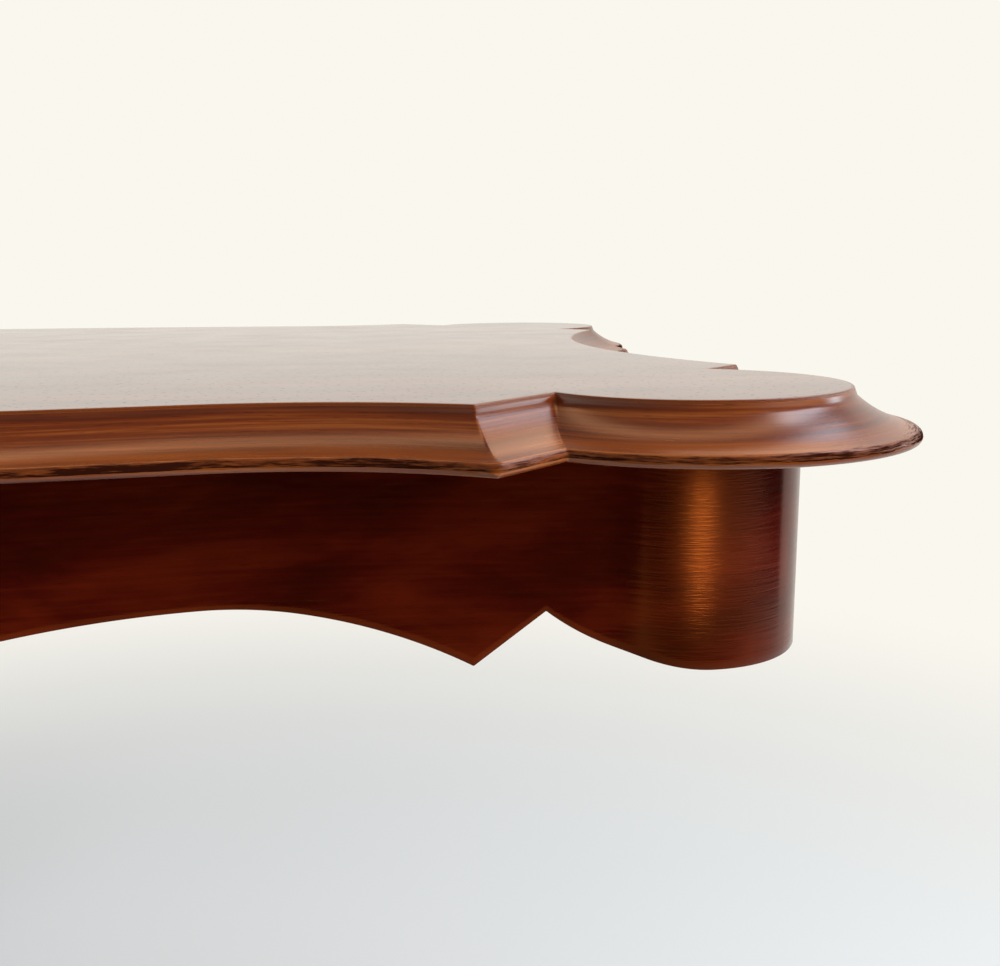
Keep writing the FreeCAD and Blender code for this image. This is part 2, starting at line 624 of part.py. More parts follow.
def dovetail(clearance):
    """Dovetail tongue on a leg that points along +X."""
    back = COLUMN_RADIUS - DOVETAIL_DEPTH - clearance
    front = COLUMN_RADIUS + OVERRUN
    wide, neck = DOVETAIL_WIDTH / 2 + clearance, DOVETAIL_NECK / 2 + clearance
    height = (LEG_TOP - COLUMN_BOTTOM) * DOVETAIL_HEIGHT_SHARE + clearance
    plan = loop([Vector(back, -wide, COLUMN_BOTTOM), Vector(front, -neck, COLUMN_BOTTOM),
                 Vector(front, neck, COLUMN_BOTTOM), Vector(back, wide, COLUMN_BOTTOM)])
    return plan.extrude(Vector(0, 0, height))


def turned_copies(shape):
    """Copies on the four diagonals."""
    copies = []
    for quarter in range(4):
        copy = shape.copy()
        copy.rotate(ORIGIN, UP, DIAGONAL + 90 * quarter)
        copies.append(copy)
    return copies


def wedge():
    """Wedge driven into a saw cut across the end of the column's tenon."""
    top, point = WEDGE_THICKNESS / 2, WEDGE_POINT / 2
    low = TOP_UNDERSIDE - WEDGE_HEIGHT
    side = loop([Vector(-top, -TENON_RADIUS, TOP_UNDERSIDE), Vector(top, -TENON_RADIUS, TOP_UNDERSIDE),
                 Vector(point, -TENON_RADIUS, low), Vector(-point, -TENON_RADIUS, low)])
    blank = side.extrude(Vector(0, 2 * TENON_RADIUS, 0))
    return blank.common(post(TENON_RADIUS, low, TOP_UNDERSIDE))


def column_parts():
    plate_screws = placed(screw_hole(PLATE_THICKNESS + PLATE_SCREW_BITE), plate_screw_spots())
    spigot_top = COLUMN_BOTTOM + SPIGOT_LENGTH + JOINT_FIT
    column = turned(column_outline()).cut(turned_copies(dovetail(JOINT_FIT)) + plate_screws)
    column = column.cut([wedge(), post(SPIGOT_RADIUS + JOINT_FIT, COLUMN_BOTTOM, spigot_top)])
    return {"column": column, "column_wedge": wedge()}


def leg_body():
    """Sawn leg along +X, with its long edges rounded over."""
    run = LEG_REACH - COLUMN_RADIUS
    volute_level = VOLUTE_RADIUS - FOOT_FLAT

    def spot(shares):
        return Vector(COLUMN_RADIUS + run * shares[0], 0, LEG_TOP * shares[1])

    root = COLUMN_RADIUS * LEG_ROOT_SHARE
    seat = Vector(COLUMN_RADIUS + LEG_SEAT, 0, COLUMN_BOTTOM)
    upper = [Vector(root, 0, LEG_TOP)] + [spot(shares) for shares in LEG_UPPER_SHARES]
    upper.append(Vector(LEG_REACH, 0, volute_level + VOLUTE_RADIUS))
    lower = [Vector(LEG_REACH, 0, volute_level - VOLUTE_RADIUS)]
    lower += [spot(shares) for shares in reversed(LEG_LOWER_SHARES)] + [seat]
    inner = Vector(root, 0, COLUMN_BOTTOM)
    outline = [spline(upper), line(upper[-1], lower[0]), spline(lower), line(seat, inner),
               line(inner, upper[0])]
    body = Part.Face(Part.Wire(outline)).extrude(Vector(0, LEG_THICKNESS, 0))
    body.translate(Vector(0, -LEG_THICKNESS / 2, 0))
    long_edges = [edge for edge in body.Edges if isinstance(edge.Curve, Part.BSplineCurve)]
    return body.makeFillet(LEG_ROUND, long_edges)


def volute():
    side = Vector(LEG_REACH, -VOLUTE_THICKNESS / 2, VOLUTE_RADIUS - FOOT_FLAT)
    disc = Part.makeCylinder(VOLUTE_RADIUS, VOLUTE_THICKNESS, side, Vector(0, 1, 0))
    rims = [edge for edge in disc.Edges if isinstance(edge.Curve, Part.Circle)]
    return disc.makeFillet(VOLUTE_ROUND, rims)


def leg_parts():
    reach = LEG_REACH + 2 * VOLUTE_RADIUS
    floor = box_between(Vector(-reach, -reach, -reach), Vector(reach, reach, 0))
    drum = post(COLUMN_RADIUS, COLUMN_BOTTOM - OVERRUN, LEG_TOP + OVERRUN)
    leg = leg_body().fuse(volute()).cut([floor, drum]).fuse(dovetail(0)).removeSplitter()
    bore = screw_hole(PLATE_THICKNESS + PLATE_SCREW_BITE)
    in_leg = PLATE_ARM_REACH * PLATE_LEG_SCREW_SHARE
    leg = leg.cut(bore.translated(Vector(in_leg, 0, COLUMN_BOTTOM - PLATE_THICKNESS)))
    names = ("leg_back_right", "leg_back_left", "leg_front_left", "leg_front_right")
    return dict(zip(names, turned_copies(leg)))


def plate_parts():
    low = COLUMN_BOTTOM - PLATE_THICKNESS
    half = PLATE_ARM_WIDTH / 2
    arm = box_between(Vector(0, -half, low), Vector(PLATE_ARM_REACH, half, COLUMN_BOTTOM))
    hub = post(COLUMN_RADIUS * PLATE_HUB_SHARE, low, COLUMN_BOTTOM)
    plate = hub.fuse(turned_copies(arm)).removeSplitter()
    length = PLATE_THICKNESS + PLATE_SCREW_BITE
    holes = placed(screw_hole(length), plate_screw_spots())
    plate = plate.cut(holes + [post(SPIGOT_RADIUS + JOINT_FIT, low, COLUMN_BOTTOM)])
    return {"spider_plate": plate,
            "spider_screws": Part.makeCompound(placed(screw(length), plate_screw_spots()))}


def finial():
    """Turned drop below the column, with its spigot up through the plate."""
    high = COLUMN_BOTTOM - PLATE_THICKNESS
    swell = [Vector(FINIAL_RADIUS * out, 0, high - FINIAL_DROP * down) for out, down in FINIAL_SHARES]
    rim = high - FINIAL_RIM
    tip = Vector(0, 0, high - FINIAL_DROP)
    spigot_top = COLUMN_BOTTOM + SPIGOT_LENGTH
    spots = [Vector(0, 0, spigot_top), Vector(SPIGOT_RADIUS, 0, spigot_top), Vector(SPIGOT_RADIUS, 0, high),
             Vector(FINIAL_RADIUS, 0, high), Vector(FINIAL_RADIUS, 0, rim), swell[0]]
    edges = [line(start, end) for start, end in zip(spots, spots[1:])]
    return turned(edges + [spline(swell + [tip])])


def main():
    parts = {}
    for group in (top_parts(), apron_parts(), bearer_parts(), column_parts(), leg_parts(), plate_parts()):
        parts.update(group)
    parts["drop_finial"] = finial()
    os.makedirs("parts", exist_ok=True)
    for name, shape in parts.items():
        shape.exportStep(os.path.join("parts", name + ".step"))
        print(name, "solids", len(shape.Solids), "valid", shape.isValid(), "volume", round(shape.Volume))


main()
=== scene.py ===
import json
import math

import bmesh
import bpy
from mathutils import Matrix, Vector, noise

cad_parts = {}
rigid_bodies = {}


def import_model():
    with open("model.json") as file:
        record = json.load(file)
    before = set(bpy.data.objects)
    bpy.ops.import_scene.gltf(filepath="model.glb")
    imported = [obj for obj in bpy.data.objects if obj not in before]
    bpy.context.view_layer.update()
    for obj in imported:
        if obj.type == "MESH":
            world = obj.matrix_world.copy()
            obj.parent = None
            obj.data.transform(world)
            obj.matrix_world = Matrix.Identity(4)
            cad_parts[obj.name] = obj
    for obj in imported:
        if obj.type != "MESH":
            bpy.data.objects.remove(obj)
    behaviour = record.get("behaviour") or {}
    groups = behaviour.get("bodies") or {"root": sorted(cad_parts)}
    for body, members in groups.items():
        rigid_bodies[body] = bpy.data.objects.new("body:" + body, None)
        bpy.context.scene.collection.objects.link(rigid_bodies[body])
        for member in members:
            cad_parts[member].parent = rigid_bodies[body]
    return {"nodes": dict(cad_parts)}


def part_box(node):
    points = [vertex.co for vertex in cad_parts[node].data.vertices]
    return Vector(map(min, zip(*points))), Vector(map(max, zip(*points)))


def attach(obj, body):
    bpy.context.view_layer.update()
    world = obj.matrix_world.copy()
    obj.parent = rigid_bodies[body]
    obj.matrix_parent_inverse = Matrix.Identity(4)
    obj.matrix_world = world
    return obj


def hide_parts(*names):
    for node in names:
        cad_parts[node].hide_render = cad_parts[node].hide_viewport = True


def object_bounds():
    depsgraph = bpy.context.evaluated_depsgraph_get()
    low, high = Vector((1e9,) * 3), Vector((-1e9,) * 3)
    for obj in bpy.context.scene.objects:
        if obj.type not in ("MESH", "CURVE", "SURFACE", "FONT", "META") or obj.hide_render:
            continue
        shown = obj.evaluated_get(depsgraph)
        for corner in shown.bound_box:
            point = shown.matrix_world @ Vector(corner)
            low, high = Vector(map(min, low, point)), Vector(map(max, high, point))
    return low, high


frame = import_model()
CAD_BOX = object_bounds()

bl_info = {
    "name": "Shaped-top table",
    "version": (1, 0, 0),
    "blender": (4, 5, 0),
    "location": "View3D > Sidebar > Table",
    "description": "Dresses a polished table with a shaped top, a scalloped apron and a pedestal base",
    "category": "Object",
}

NODES = frame["nodes"]
MM = 0.001
TABLE_TOP = CAD_BOX[1].z
TOP_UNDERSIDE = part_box("top_board_middle")[0].z
BOARD_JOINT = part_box("top_board_middle")[1].y
# Corners of the table, and the direction of the leg that points there, in degrees
CORNERS = {"back_right": 45, "back_left": 135, "front_left": 225, "front_right": 315}


def linear(hex_colour):
    """Linear colour from an sRGB hex value."""
    channels = [int(hex_colour[i:i + 2], 16) / 255 for i in (1, 3, 5)]
    return tuple(c / 12.92 if c <= 0.04045 else ((c + 0.055) / 1.055) ** 2.4 for c in channels)


def number(name, description, value, **limits):
    return bpy.props.FloatProperty(name=name, description=description, default=value, **limits)


def length(name, description, millimetres):
    return number(name, description, millimetres * MM, min=0, unit="LENGTH", precision=4)


def angle(name, description, degrees):
    return number(name, description, math.radians(degrees), subtype="ANGLE")


def watts(name, description, power):
    return number(name, description, power, min=0, unit="POWER")


def colour(name, description, hex_colour):
    return bpy.props.FloatVectorProperty(name=name, description=description, default=linear(hex_colour),
                                         size=3, min=0, max=1, subtype="COLOR")


class PlanSizes(bpy.types.PropertyGroup):
    """Plan of the top's upper edge: cut corners, hollow sides and ends, and a lobe on each cut."""
    half_length: length("Half length", "Middle of the table to the line of the end", 435)
    half_width: length("Half width", "Middle of the table to the line of the side", 277.5)
    corner_cut: length("Corner cut", "How far the cut runs back from the square corner", 126)
    side_hollow_depth: length("Side hollow", "Depth of the hollow beside the horn", 16.3)
    side_hollow_radius: length("Side hollow radius", "Radius of that hollow", 150)
    end_hollow_depth: length("End hollow", "Depth of the hollow end", 36.5)
    lobe_radius: length("Lobe radius", "Radius of the round lobe", 58)
    lobe_out: length("Lobe out", "Lobe's axis outside the line of the cut", 19)
    lobe_shift: length("Lobe shift", "Lobe's axis along the cut, from its middle towards the end", 8.3)


class EdgeSizes(bpy.types.PropertyGroup):
    """Moulded edge of the top: a steep quirk, a cove and a round nose, worn at its arrises."""
    lip: length("Lip", "How far the nose stands out", 22.8)
    nose_radius: length("Nose radius", "Radius of the nose", 2.7)
    ease: length("Lower arris", "Rounding of the nose's lower arris, from wear", 1.8)
    cove_tilt: angle("Cove tilt", "How far the cove still falls at the nose", 12.5)
    quirk_out: length("Quirk out", "How far the quirk leans out", 1.0)
    quirk_drop: length("Quirk drop", "Height of the quirk", 3.4)
    soft: length("Upper arris", "Rounding of the top's upper arris", 0.8)
    horn_soft: length("Worn horn", "Rounding of the horns at the nose, from wear", 4.5)
    chip: length("Chips", "Depth of the deepest chips in the nose", 1.1)


class ApronSizes(bpy.types.PropertyGroup):
    """Veneered apron; depths are measured from the top's surface."""
    inset: length("Inset", "Apron's face inside the top's upper edge", 17)
    veneer: length("Veneer", "Thickness of the veneer", 1.2)
    depth: length("Drum depth", "Lower edge of the drum", 94)
    crown_depth: length("Crown depth", "Lower edge in the middle of a side", 92)
    arch_depth: length("Arch depth", "Lower edge at the top of an arch", 70.8)
    drop_depth: length("Drop depth", "Lower edge at the pointed drop", 93.7)
    cusp_depth: length("Cusp depth", "Lower edge at the cusp beside the drum", 74.6)
    arch_place: length("Arch place", "The side arch's highest point, from the middle", 220)
    drop_place: length("Drop place", "The drop, from the drum's axis", 80.6)
    cusp_place: length("Cusp place", "The cusp, from the drum's axis", 55.7)
    run_turn: angle("Run turn", "How far a straight run turns in at the drum", 4)
    valley: length("Valley", "Radius of the hollow between a straight run and the drum", 25)
    arch_turn: number("Arch turn", "Where the arch turns into the crown", 0.33, min=0.1, max=0.9,
                      subtype="FACTOR")
    ease: length("Lower arris", "Rounding of the veneer's lower arris", 0.4)


class BaseSizes(bpy.types.PropertyGroup):
    """Carved scrolls of the legs, and the screws."""
    leg_reach: length("Leg reach", "Column's axis to the volute's axis", 330)
    volute_radius: length("Volute radius", "Radius of the round end of a leg", 24)
    volute_width: length("Volute width", "Thickness of the round end of a leg", 50)
    scroll_turns: number("Scroll turns", "Turns of the carved spiral", 2.25, min=0.5)
    bead: length("Scroll bead", "Radius of the carved bead", 1.5)
    screw_head: length("Screw head", "Radius of a screw's head", 4.8)
    screw_shank: length("Screw shank", "Radius of a screw's shank", 2.5)
    screw_sink: length("Screw sink", "Height of a screw's sunk head", 3)
    screw_slot: length("Screw slot", "Width of a screw's slot", 1.1)


class StageSizes(bpy.types.PropertyGroup):
    """Floor, light and camera."""
    floor: length("Floor", "Half the side of the floor", 12000)
    fade_start: length("Fade start", "Where the floor starts to fade into the backdrop", 700)
    fade_end: length("Fade end", "Where the floor has faded into the backdrop", 2200)
    cloth: length("Cloth", "Height of the dark cloth", 1500)
    cloth_away: length("Cloth away", "Middle of the table to the dark cloth in front", 1800)
    cloth_side: length("Cloth side", "Middle of the table to the dark cloth on the right", 2600)
    room_light: number("Room light", "Strength of the room's own light", 0.4, min=0)
    ceiling: number("Ceiling", "Strength of the ceiling in the polish", 0.08, min=0)
    overhead: watts("Overhead lamp", "Power of the lamp over the table", 8)
    side: watts("Side lamp", "Power of the soft lamp in front on the right", 40)
    skylight: watts("Skylight", "Power of the cool light on the right, that only the polish mirrors", 10)
    cool_wall: watts("Cool wall", "Power of the cool light lower down, that only the polish mirrors", 2.2)
    low_sky: watts("Low sky", "Power of the cool light low on the right, that only the polish mirrors", 3.4)
    warm_wall: watts("Warm wall", "Power of the warm light beside it, that only the polish mirrors", 2.4)
    high_window: watts("High window", "Power of the warm strip of light at the back", 11)
    glint: watts("Glint", "Power of the narrow light that only the veneer's polish mirrors", 34)
    camera_place: bpy.props.FloatVectorProperty(name="Camera place", description="Where the camera stands",
                                                default=(0.2755, -0.6062, 0.7548), subtype="TRANSLATION")
    camera_pitch: angle("Camera pitch", "How far the camera looks down", 10.78)
    camera_yaw: angle("Camera yaw", "How far the camera turns to the right", 7.13)
    camera_roll: angle("Camera roll", "How far the camera leans", -0.41)


class Finishes(bpy.types.PropertyGroup):
    """Colours of the woods and metals."""
    top_dark: colour("Top, dark grain", "Dark streaks of the top's wood", "#42190A")
    top_mid: colour("Top, wood", "Body of the top's wood", "#66290A")
    top_light: colour("Top, light grain", "Light streaks of the top's wood", "#8C4B16")
    # Painted highlight: light orange for the foot of the cove and the nose, partly wood worn light by rubbing
    # and partly the light that the rounded nose catches
    rubbed_and_highlight: colour("Rubbed edge", "Wood rubbed light along the foot of the cove", "#8C4404")
    worn: colour("Worn lip", "Bare dark wood and dirt where the polish has gone", "#2A0F08")
    veneer_dark: colour("Veneer, dark grain", "Dark streaks of the apron's veneer", "#2C0603")
    veneer_mid: colour("Veneer, wood", "Body of the apron's veneer", "#3C0804")
    veneer_light: colour("Veneer, light grain", "Light streaks of the apron's veneer", "#501306")
    carcase: colour("Carcase wood", "Plain sawn wood out of sight", "#9A6B42")
    iron: colour("Iron", "Forged plate", "#3A3634")
    steel: colour("Steel", "Screws", "#9A958C")
    floor: colour("Floor", "Pale floor", "#E8F3FA")
    backdrop: colour("Backdrop", "Warm white behind the table", "#FAF7EE")


# Plan of the table: every outline is a set of arcs and straight cuts at a distance outside the upper edge

# Steps that divide each stretch of an outline in plan, of the moulded edge downwards, and of a veneer strip
STEPS = {"bow": 80, "hollow": 44, "horn": 10, "cut": 20, "valley": 16, "lobe": 64, "end": 56, "run": 240,
         "half_joint": 40, "arris": 5, "quirk": 3, "cove": 18, "nose": 14, "ease": 6, "veneer": 24}
SHARP_ANGLE = math.radians(32)


def arc_points(centre, start, finish, count):
    """Points on the shorter arc from start towards finish, without the last one."""
    first, last = start - centre, finish - centre
    begin = math.atan2(first.y, first.x)
    sweep = math.atan2(first.x * last.y - first.y * last.x, first.dot(last))
    turns = [begin + sweep * i / count for i in range(count)]
    return [centre + Vector((math.cos(turn), math.sin(turn))) * first.length for turn in turns]


def straight_points(start, finish, count):
    return [start.lerp(finish, i / count) for i in range(count)]


class Plan:
    """Outline of the corner where X and Y are positive, at any distance outside the top's upper edge."""

    def __init__(self, sizes):
        self.square = Vector((1, 1)).normalized()
        self.along = Vector((1, -1)).normalized()
        corner = Vector((sizes.half_length, sizes.half_width))
        self.cut = corner.dot(self.square) - sizes.corner_cut * self.square.x
        self.lobe_radius = sizes.lobe_radius
        self.lobe = (self.square * (self.cut + sizes.lobe_out)
                     + self.along * (corner.dot(self.along) + sizes.lobe_shift))
        self.hollow_radius = sizes.side_hollow_radius
        rise = sizes.side_hollow_radius - sizes.side_hollow_depth
        reach = math.sqrt(sizes.side_hollow_radius ** 2 - rise ** 2)
        self.hollow = Vector((corner.x - sizes.corner_cut - reach, corner.y + rise))
        horn = corner.y - sizes.corner_cut
        self.end_radius = (horn ** 2 + sizes.end_hollow_depth ** 2) / (2 * sizes.end_hollow_depth)
        self.end = Vector((corner.x - sizes.end_hollow_depth + self.end_radius, 0))
        self.bow_radius = ((self.hollow.x ** 2 + rise ** 2 - sizes.side_hollow_radius ** 2)
                           / (2 * sizes.side_hollow_depth))
        self.bow = Vector((0, corner.y - self.bow_radius))

    def crossing(self, centre, radius, out, side):
        """Where a circle crosses the line of the cut; side is 1 towards the end and -1 towards the side."""
        away = self.cut + out - centre.dot(self.square)
        along = centre.dot(self.along) + side * math.sqrt(radius ** 2 - away ** 2)
        return self.square * (self.cut + out) + self.along * along

    def corner_half(self, hollow, radius, side, out, horn, valley):
        """Where the outline leaves a hollow, and from there over horn, cut and valley to the lobe's tip."""
        bend = self.crossing(hollow, radius - out + horn, out - horn, side)
        leaves = bend + (hollow - bend).normalized() * horn
        meets = bend + self.square * horn
        dip = self.crossing(self.lobe, self.lobe_radius + out + valley, out + valley, -side)
        dip_start = dip - self.square * valley
        dip_end = dip + (self.lobe - dip).normalized() * valley
        tip = self.lobe + self.square * (self.lobe_radius + out)
        return leaves, (arc_points(bend, leaves, meets, STEPS["horn"])
                        + straight_points(meets, dip_start, STEPS["cut"])
                        + arc_points(dip, dip_start, dip_end, STEPS["valley"])
                        + arc_points(self.lobe, dip_end, tip, STEPS["lobe"]) + [tip])

    def from_side(self, out, leaves, rest):
        """Outline from the middle of the side to where it leaves the hollow, and the rest of it."""
        start = self.bow + Vector((0, self.bow_radius + out))
        bend = self.bow + (self.hollow - self.bow).normalized() * (self.bow_radius + out)
        return (arc_points(self.bow, start, bend, STEPS["bow"])
                + arc_points(self.hollow, bend, leaves, STEPS["hollow"]) + rest)

    def from_end(self, out, away, leaves, rest):
        """Outline from a distance away from the long centre line, on the hollow end, and the rest of it."""
        start = Vector((self.end.x - math.sqrt((self.end_radius - out) ** 2 - away ** 2), away))
        return arc_points(self.end, start, leaves, STEPS["end"]) + rest

    def top_side(self, out, horn, valley):
        """Top's outline from the middle of the side to the tip of the lobe."""
        return self.from_side(out, *self.corner_half(self.hollow, self.hollow_radius, 1, out, horn, valley))

    def top_end(self, out, horn, valley, away):
        """Top's outline from a distance away from the long centre line to the tip of the lobe."""
        return self.from_end(out, away, *self.corner_half(self.end, self.end_radius, -1, out, horn, valley))

    def apron_half(self, hollow, radius, sign, apron, inset):
        """Where the apron leaves a hollow, and its outline from there to the outermost point of the drum."""
        apart = self.lobe - hollow
        meeting = math.acos((radius + self.lobe_radius) / apart.length)
        turn = math.atan2(apart.y, apart.x) + sign * (meeting + apron.run_turn)
        facing = Vector((math.cos(turn), math.sin(turn)))
        along = sign * Vector((facing.y, -facing.x))
        small, drum = apron.valley - apron.inset, self.lobe_radius - inset
        inward = radius - small - apart.dot(facing)
        back = math.sqrt((self.lobe_radius + small) ** 2 - inward ** 2)
        valley = self.lobe + facing * inward - along * back
        start = hollow + facing * (radius + inset)
        dip = valley + facing * (small + inset)
        meets = self.lobe + (valley - self.lobe).normalized() * drum
        tip = self.lobe + self.square * drum
        return start, (straight_points(start, dip, STEPS["run"])
                       + arc_points(valley, dip, meets, STEPS["valley"])
                       + arc_points(self.lobe, meets, tip, STEPS["lobe"]) + [tip])

    def apron_side(self, apron, inset):
        """Apron's outline from the middle of the side to the outermost point of the drum."""
        return self.from_side(-inset, *self.apron_half(self.hollow, self.hollow_radius, -1, apron, inset))

    def apron_end(self, apron, inset):
        """Apron's outline from the middle of the end to the outermost point of the drum."""
        return self.from_end(-inset, 0, *self.apron_half(self.end, self.end_radius, 1, apron, inset))


def flipped(points, x, y):
    """Points in plan with their X and Y multiplied by 1 or -1."""
    return [Vector((p.x * x, p.y * y)) for p in points]


def both_ways(half, x, y):
    """A half outline, from its middle out, joined to its mirror image."""
    return flipped(reversed(half[1:]), x, y) + half


def run_lengths(points):
    """Distance along a row of points, from its middle."""
    total, lengths = 0.0, [0.0]
    for start, finish in zip(points, points[1:]):
        total += (finish - start).length
        lengths.append(total)
    return [run - total / 2 for run in lengths]


def lofted(name, loops, uvs, wear):
    """Closed mesh through closed loops of points, capped at both ends, with UVs in metres and its wear."""
    count = len(loops[0])
    verts = [point for loop in loops for point in loop]
    faces = [(row * count + i, row * count + (i + 1) % count,
              (row + 1) * count + (i + 1) % count, (row + 1) * count + i)
             for row in range(len(loops) - 1) for i in range(count)]
    faces.append(tuple(range(count)))
    faces.append(tuple(range((len(loops) - 1) * count, len(loops) * count)))
    mesh = bpy.data.meshes.new(name)
    mesh.from_pydata(verts, [], faces)
    flat = [uv for loop in uvs for uv in loop]
    layer = mesh.uv_layers.new(name="grain")
    for corner in mesh.loops:
        layer.data[corner.index].uv = flat[corner.vertex_index]
    shares = mesh.attributes.new("wear", "FLOAT", "POINT")
    shares.data.foreach_set("value", [share for row in wear for share in row])
    shell = bmesh.new()
    shell.from_mesh(mesh)
    bmesh.ops.recalc_face_normals(shell, faces=shell.faces)
    shell.to_mesh(mesh)
    shell.free()
    mesh.shade_smooth()
    mesh.set_sharp_from_angle(angle=SHARP_ANGLE)
    return mesh


def add_piece(name, mesh, material, slot, *replaced):
    piece = bpy.data.objects.new(name, mesh)
    bpy.context.scene.collection.objects.link(piece)
    mesh.materials.clear()
    mesh.materials.append(material)
    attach(piece, "root")
    if replaced:
        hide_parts(*replaced)


# Moulded edge of the top

# Share of wear down the edge: a little down the cove, more with each of the last steps at its foot, most on
# the nose. Below it the polish is whole, and the share is under zero so that the worn band ends sharply. From
# a small share up, the top's material also paints a light orange highlight there, together with wear from
# rubbing.
COVE_WEAR = 0.12
FOOT_STEPS = 3
CREST_WEAR = 0.48
NOSE_WEAR = 0.92
LOWER_WEAR = 0.9
KEPT_POLISH = -1.0
# Where the flat face beside a rounded arris starts, in radii from the edge
RIM_RADII = 4


def on_circle(centre, radius, turn):
    """Point of a circle in a section, by its angle from upright towards the outside."""
    return centre[0] + radius * math.sin(turn), centre[1] + radius * math.cos(turn)


def edge_section(edge):
    """Points down the moulded edge, each a distance out, a level and a share of wear."""
    upright, tilt = math.pi / 2, edge.cove_tilt
    quirk = (edge.quirk_out, TABLE_TOP - edge.quirk_drop)
    nose = (edge.lip - edge.nose_radius, TOP_UNDERSIDE + edge.ease)
    low = (edge.lip - edge.ease, TOP_UNDERSIDE + edge.ease)
    arris = (-edge.soft, TABLE_TOP - edge.soft)
    crest = on_circle(nose, edge.nose_radius, tilt)
    run, fall = crest[0] - quirk[0], quirk[1] - crest[1]
    cove_radius = (run ** 2 + fall ** 2) / (2 * (fall * math.cos(tilt) - run * math.sin(tilt)))
    cove = on_circle(crest, cove_radius, tilt)
    sweep = 2 * math.asin(math.hypot(run, fall) / (2 * cove_radius))
    lean = math.atan2(edge.quirk_drop, edge.quirk_out)
    points = [(-RIM_RADII * edge.soft, TABLE_TOP, 0.0)]
    for i in range(STEPS["arris"] + 1):
        points.append((*on_circle(arris, edge.soft, lean * i / STEPS["arris"]), 0.0))
    start = points[-1]
    for i in range(1, STEPS["quirk"]):
        points.append((*[a + (b - a) * i / STEPS["quirk"] for a, b in zip(start, quirk)], 0.0))
    for i in range(STEPS["cove"]):
        wear = COVE_WEAR * (i / STEPS["cove"] + max(0, i + FOOT_STEPS - STEPS["cove"]))
        points.append((*on_circle(cove, -cove_radius, tilt + sweep * (1 - i / STEPS["cove"])), wear))
    for i in range(STEPS["nose"]):
        wear = CREST_WEAR + (NOSE_WEAR - CREST_WEAR) * min(1, 2 * i / STEPS["nose"])
        points.append((*on_circle(nose, edge.nose_radius, tilt + (upright - tilt) * i / STEPS["nose"]), wear))
    for i in range(STEPS["ease"] + 1):
        wear = KEPT_POLISH if i else LOWER_WEAR
        points.append((*on_circle(low, edge.ease, upright * (1 + i / STEPS["ease"])), wear))
    return points + [(edge.lip - RIM_RADII * edge.ease, TOP_UNDERSIDE, KEPT_POLISH)]


# Damage of the nose: long dents, and finer nicks by so many times along X, Y and Z. Each has the level of the
# noise that is left whole, and its depth as a share of the deepest chip.
CHIP_SEED = 3.7
DENT_LENGTH = 11 * MM
NICK_FINENESS = (4, 4, 2)
DENT_SHARES = (0.1, 0.7)
NICK_SHARES = (0.25, 0.9)
CHIPPED_WEAR = 0.2


def chip_depth(place, wear, edge):
    """How far the nose is worn away at a place."""
    if wear < CHIPPED_WEAR:
        return 0.0
    x, y, z = place / DENT_LENGTH
    fine_x, fine_y, fine_z = NICK_FINENESS
    dent = noise.noise(Vector((x, y, CHIP_SEED)))
    nick = noise.noise(Vector((x * fine_x, y * fine_y, z * fine_z + CHIP_SEED)))
    shares = [depth * max(0.0, found - whole)
              for found, (whole, depth) in ((dent, DENT_SHARES), (nick, NICK_SHARES))]
    return edge.chip * wear * sum(shares)


def moulded_board(name, path_at, edge):
    """Board whose moulded edge follows a closed path; path_at gives the path for a distance out."""
    section = edge_section(edge)
    loops, uvs, wears = [], [], []
    down = 0.0
    above = section[0]
    for out, level, wear in section:
        path = path_at(out, edge.soft + edge.horn_soft * max(0.0, wear))
        down += math.hypot(out - above[0], level - above[1])
        above = (out, level)
        loops.append([Vector((p.x, p.y, level)) for p in path])
        uvs.append([(along, down) for along in run_lengths(path)])
        wears.append([wear] * len(path))
    crest = next(row for row, point in enumerate(section) if point[2] >= CREST_WEAR)
    for row in range(crest + 1, len(loops) - 1):
        for i, point in enumerate(loops[row]):
            depth = chip_depth(point, wears[row][i], edge)
            inward = loops[crest][i] - point
            loops[row][i] = point + inward.normalized() * min(depth, inward.length)
    return lofted(name, loops, uvs, wears)


class TABLE_OT_top_boards(bpy.types.Operator):
    """Make the three boards of the top, with the moulding worked on their edges"""
    bl_idname = "table.top_boards"
    bl_label = "Top boards"

    def execute(self, context):
        edge, plan = context.scene.table_edge, Plan(context.scene.table_plan)

        def front_path(out, horn):
            end = plan.top_end(out, horn, edge.soft, BOARD_JOINT)
            half = plan.top_side(out, horn, edge.soft) + end[-2::-1]
            return flipped(both_ways(half, -1, 1), 1, -1)

        def back_path(out, horn):
            return flipped(front_path(out, horn), 1, -1)

        def middle_path(out, horn):
            # This board has only the two hollow ends, so it has no horn to round
            steps, radius = STEPS["half_joint"], plan.end_radius - out
            places = [BOARD_JOINT * i / steps for i in range(-steps, steps + 1)]
            right = [Vector((plan.end.x - math.sqrt(radius ** 2 - y ** 2), y)) for y in places]
            return right + flipped(right, -1, -1)

        wood = top_mahogany(context.scene.table_finish)
        for place, path_at in (("front", front_path), ("middle", middle_path), ("back", back_path)):
            mesh = moulded_board("top_" + place, path_at, edge)
            add_piece("moulded_top_" + place, mesh, wood, "top_wood", "top_board_" + place)
        return {"FINISHED"}


# Veneered apron

# Share of the polish that is crazed on a drum, by the angle in degrees from the drum's outermost line
CRAZED_SHARES = ((0, 0.1), (10, 0.1), (42, 1), (54, 1), (84, 0), (180, 0))
# Share of the veneer's height below which the crazing fades, and how fast
CRAZED_HEIGHT_SHARE = 0.5
CRAZE_FALL = 1.7
# How far the middle of a rounded arris lies from its square corner, as a share of the radius
EASED_SHARE = 0.3


def level_arc(place, start, crest):
    """Depth on an arc that runs level at its crest; start and crest are places with their depths."""
    run, rise = start[0] - crest[0], start[1] - crest[1]
    radius = (run ** 2 + rise ** 2) / (2 * abs(rise))
    return crest[1] + math.copysign(radius - math.sqrt(radius ** 2 - (place - crest[0]) ** 2), rise)


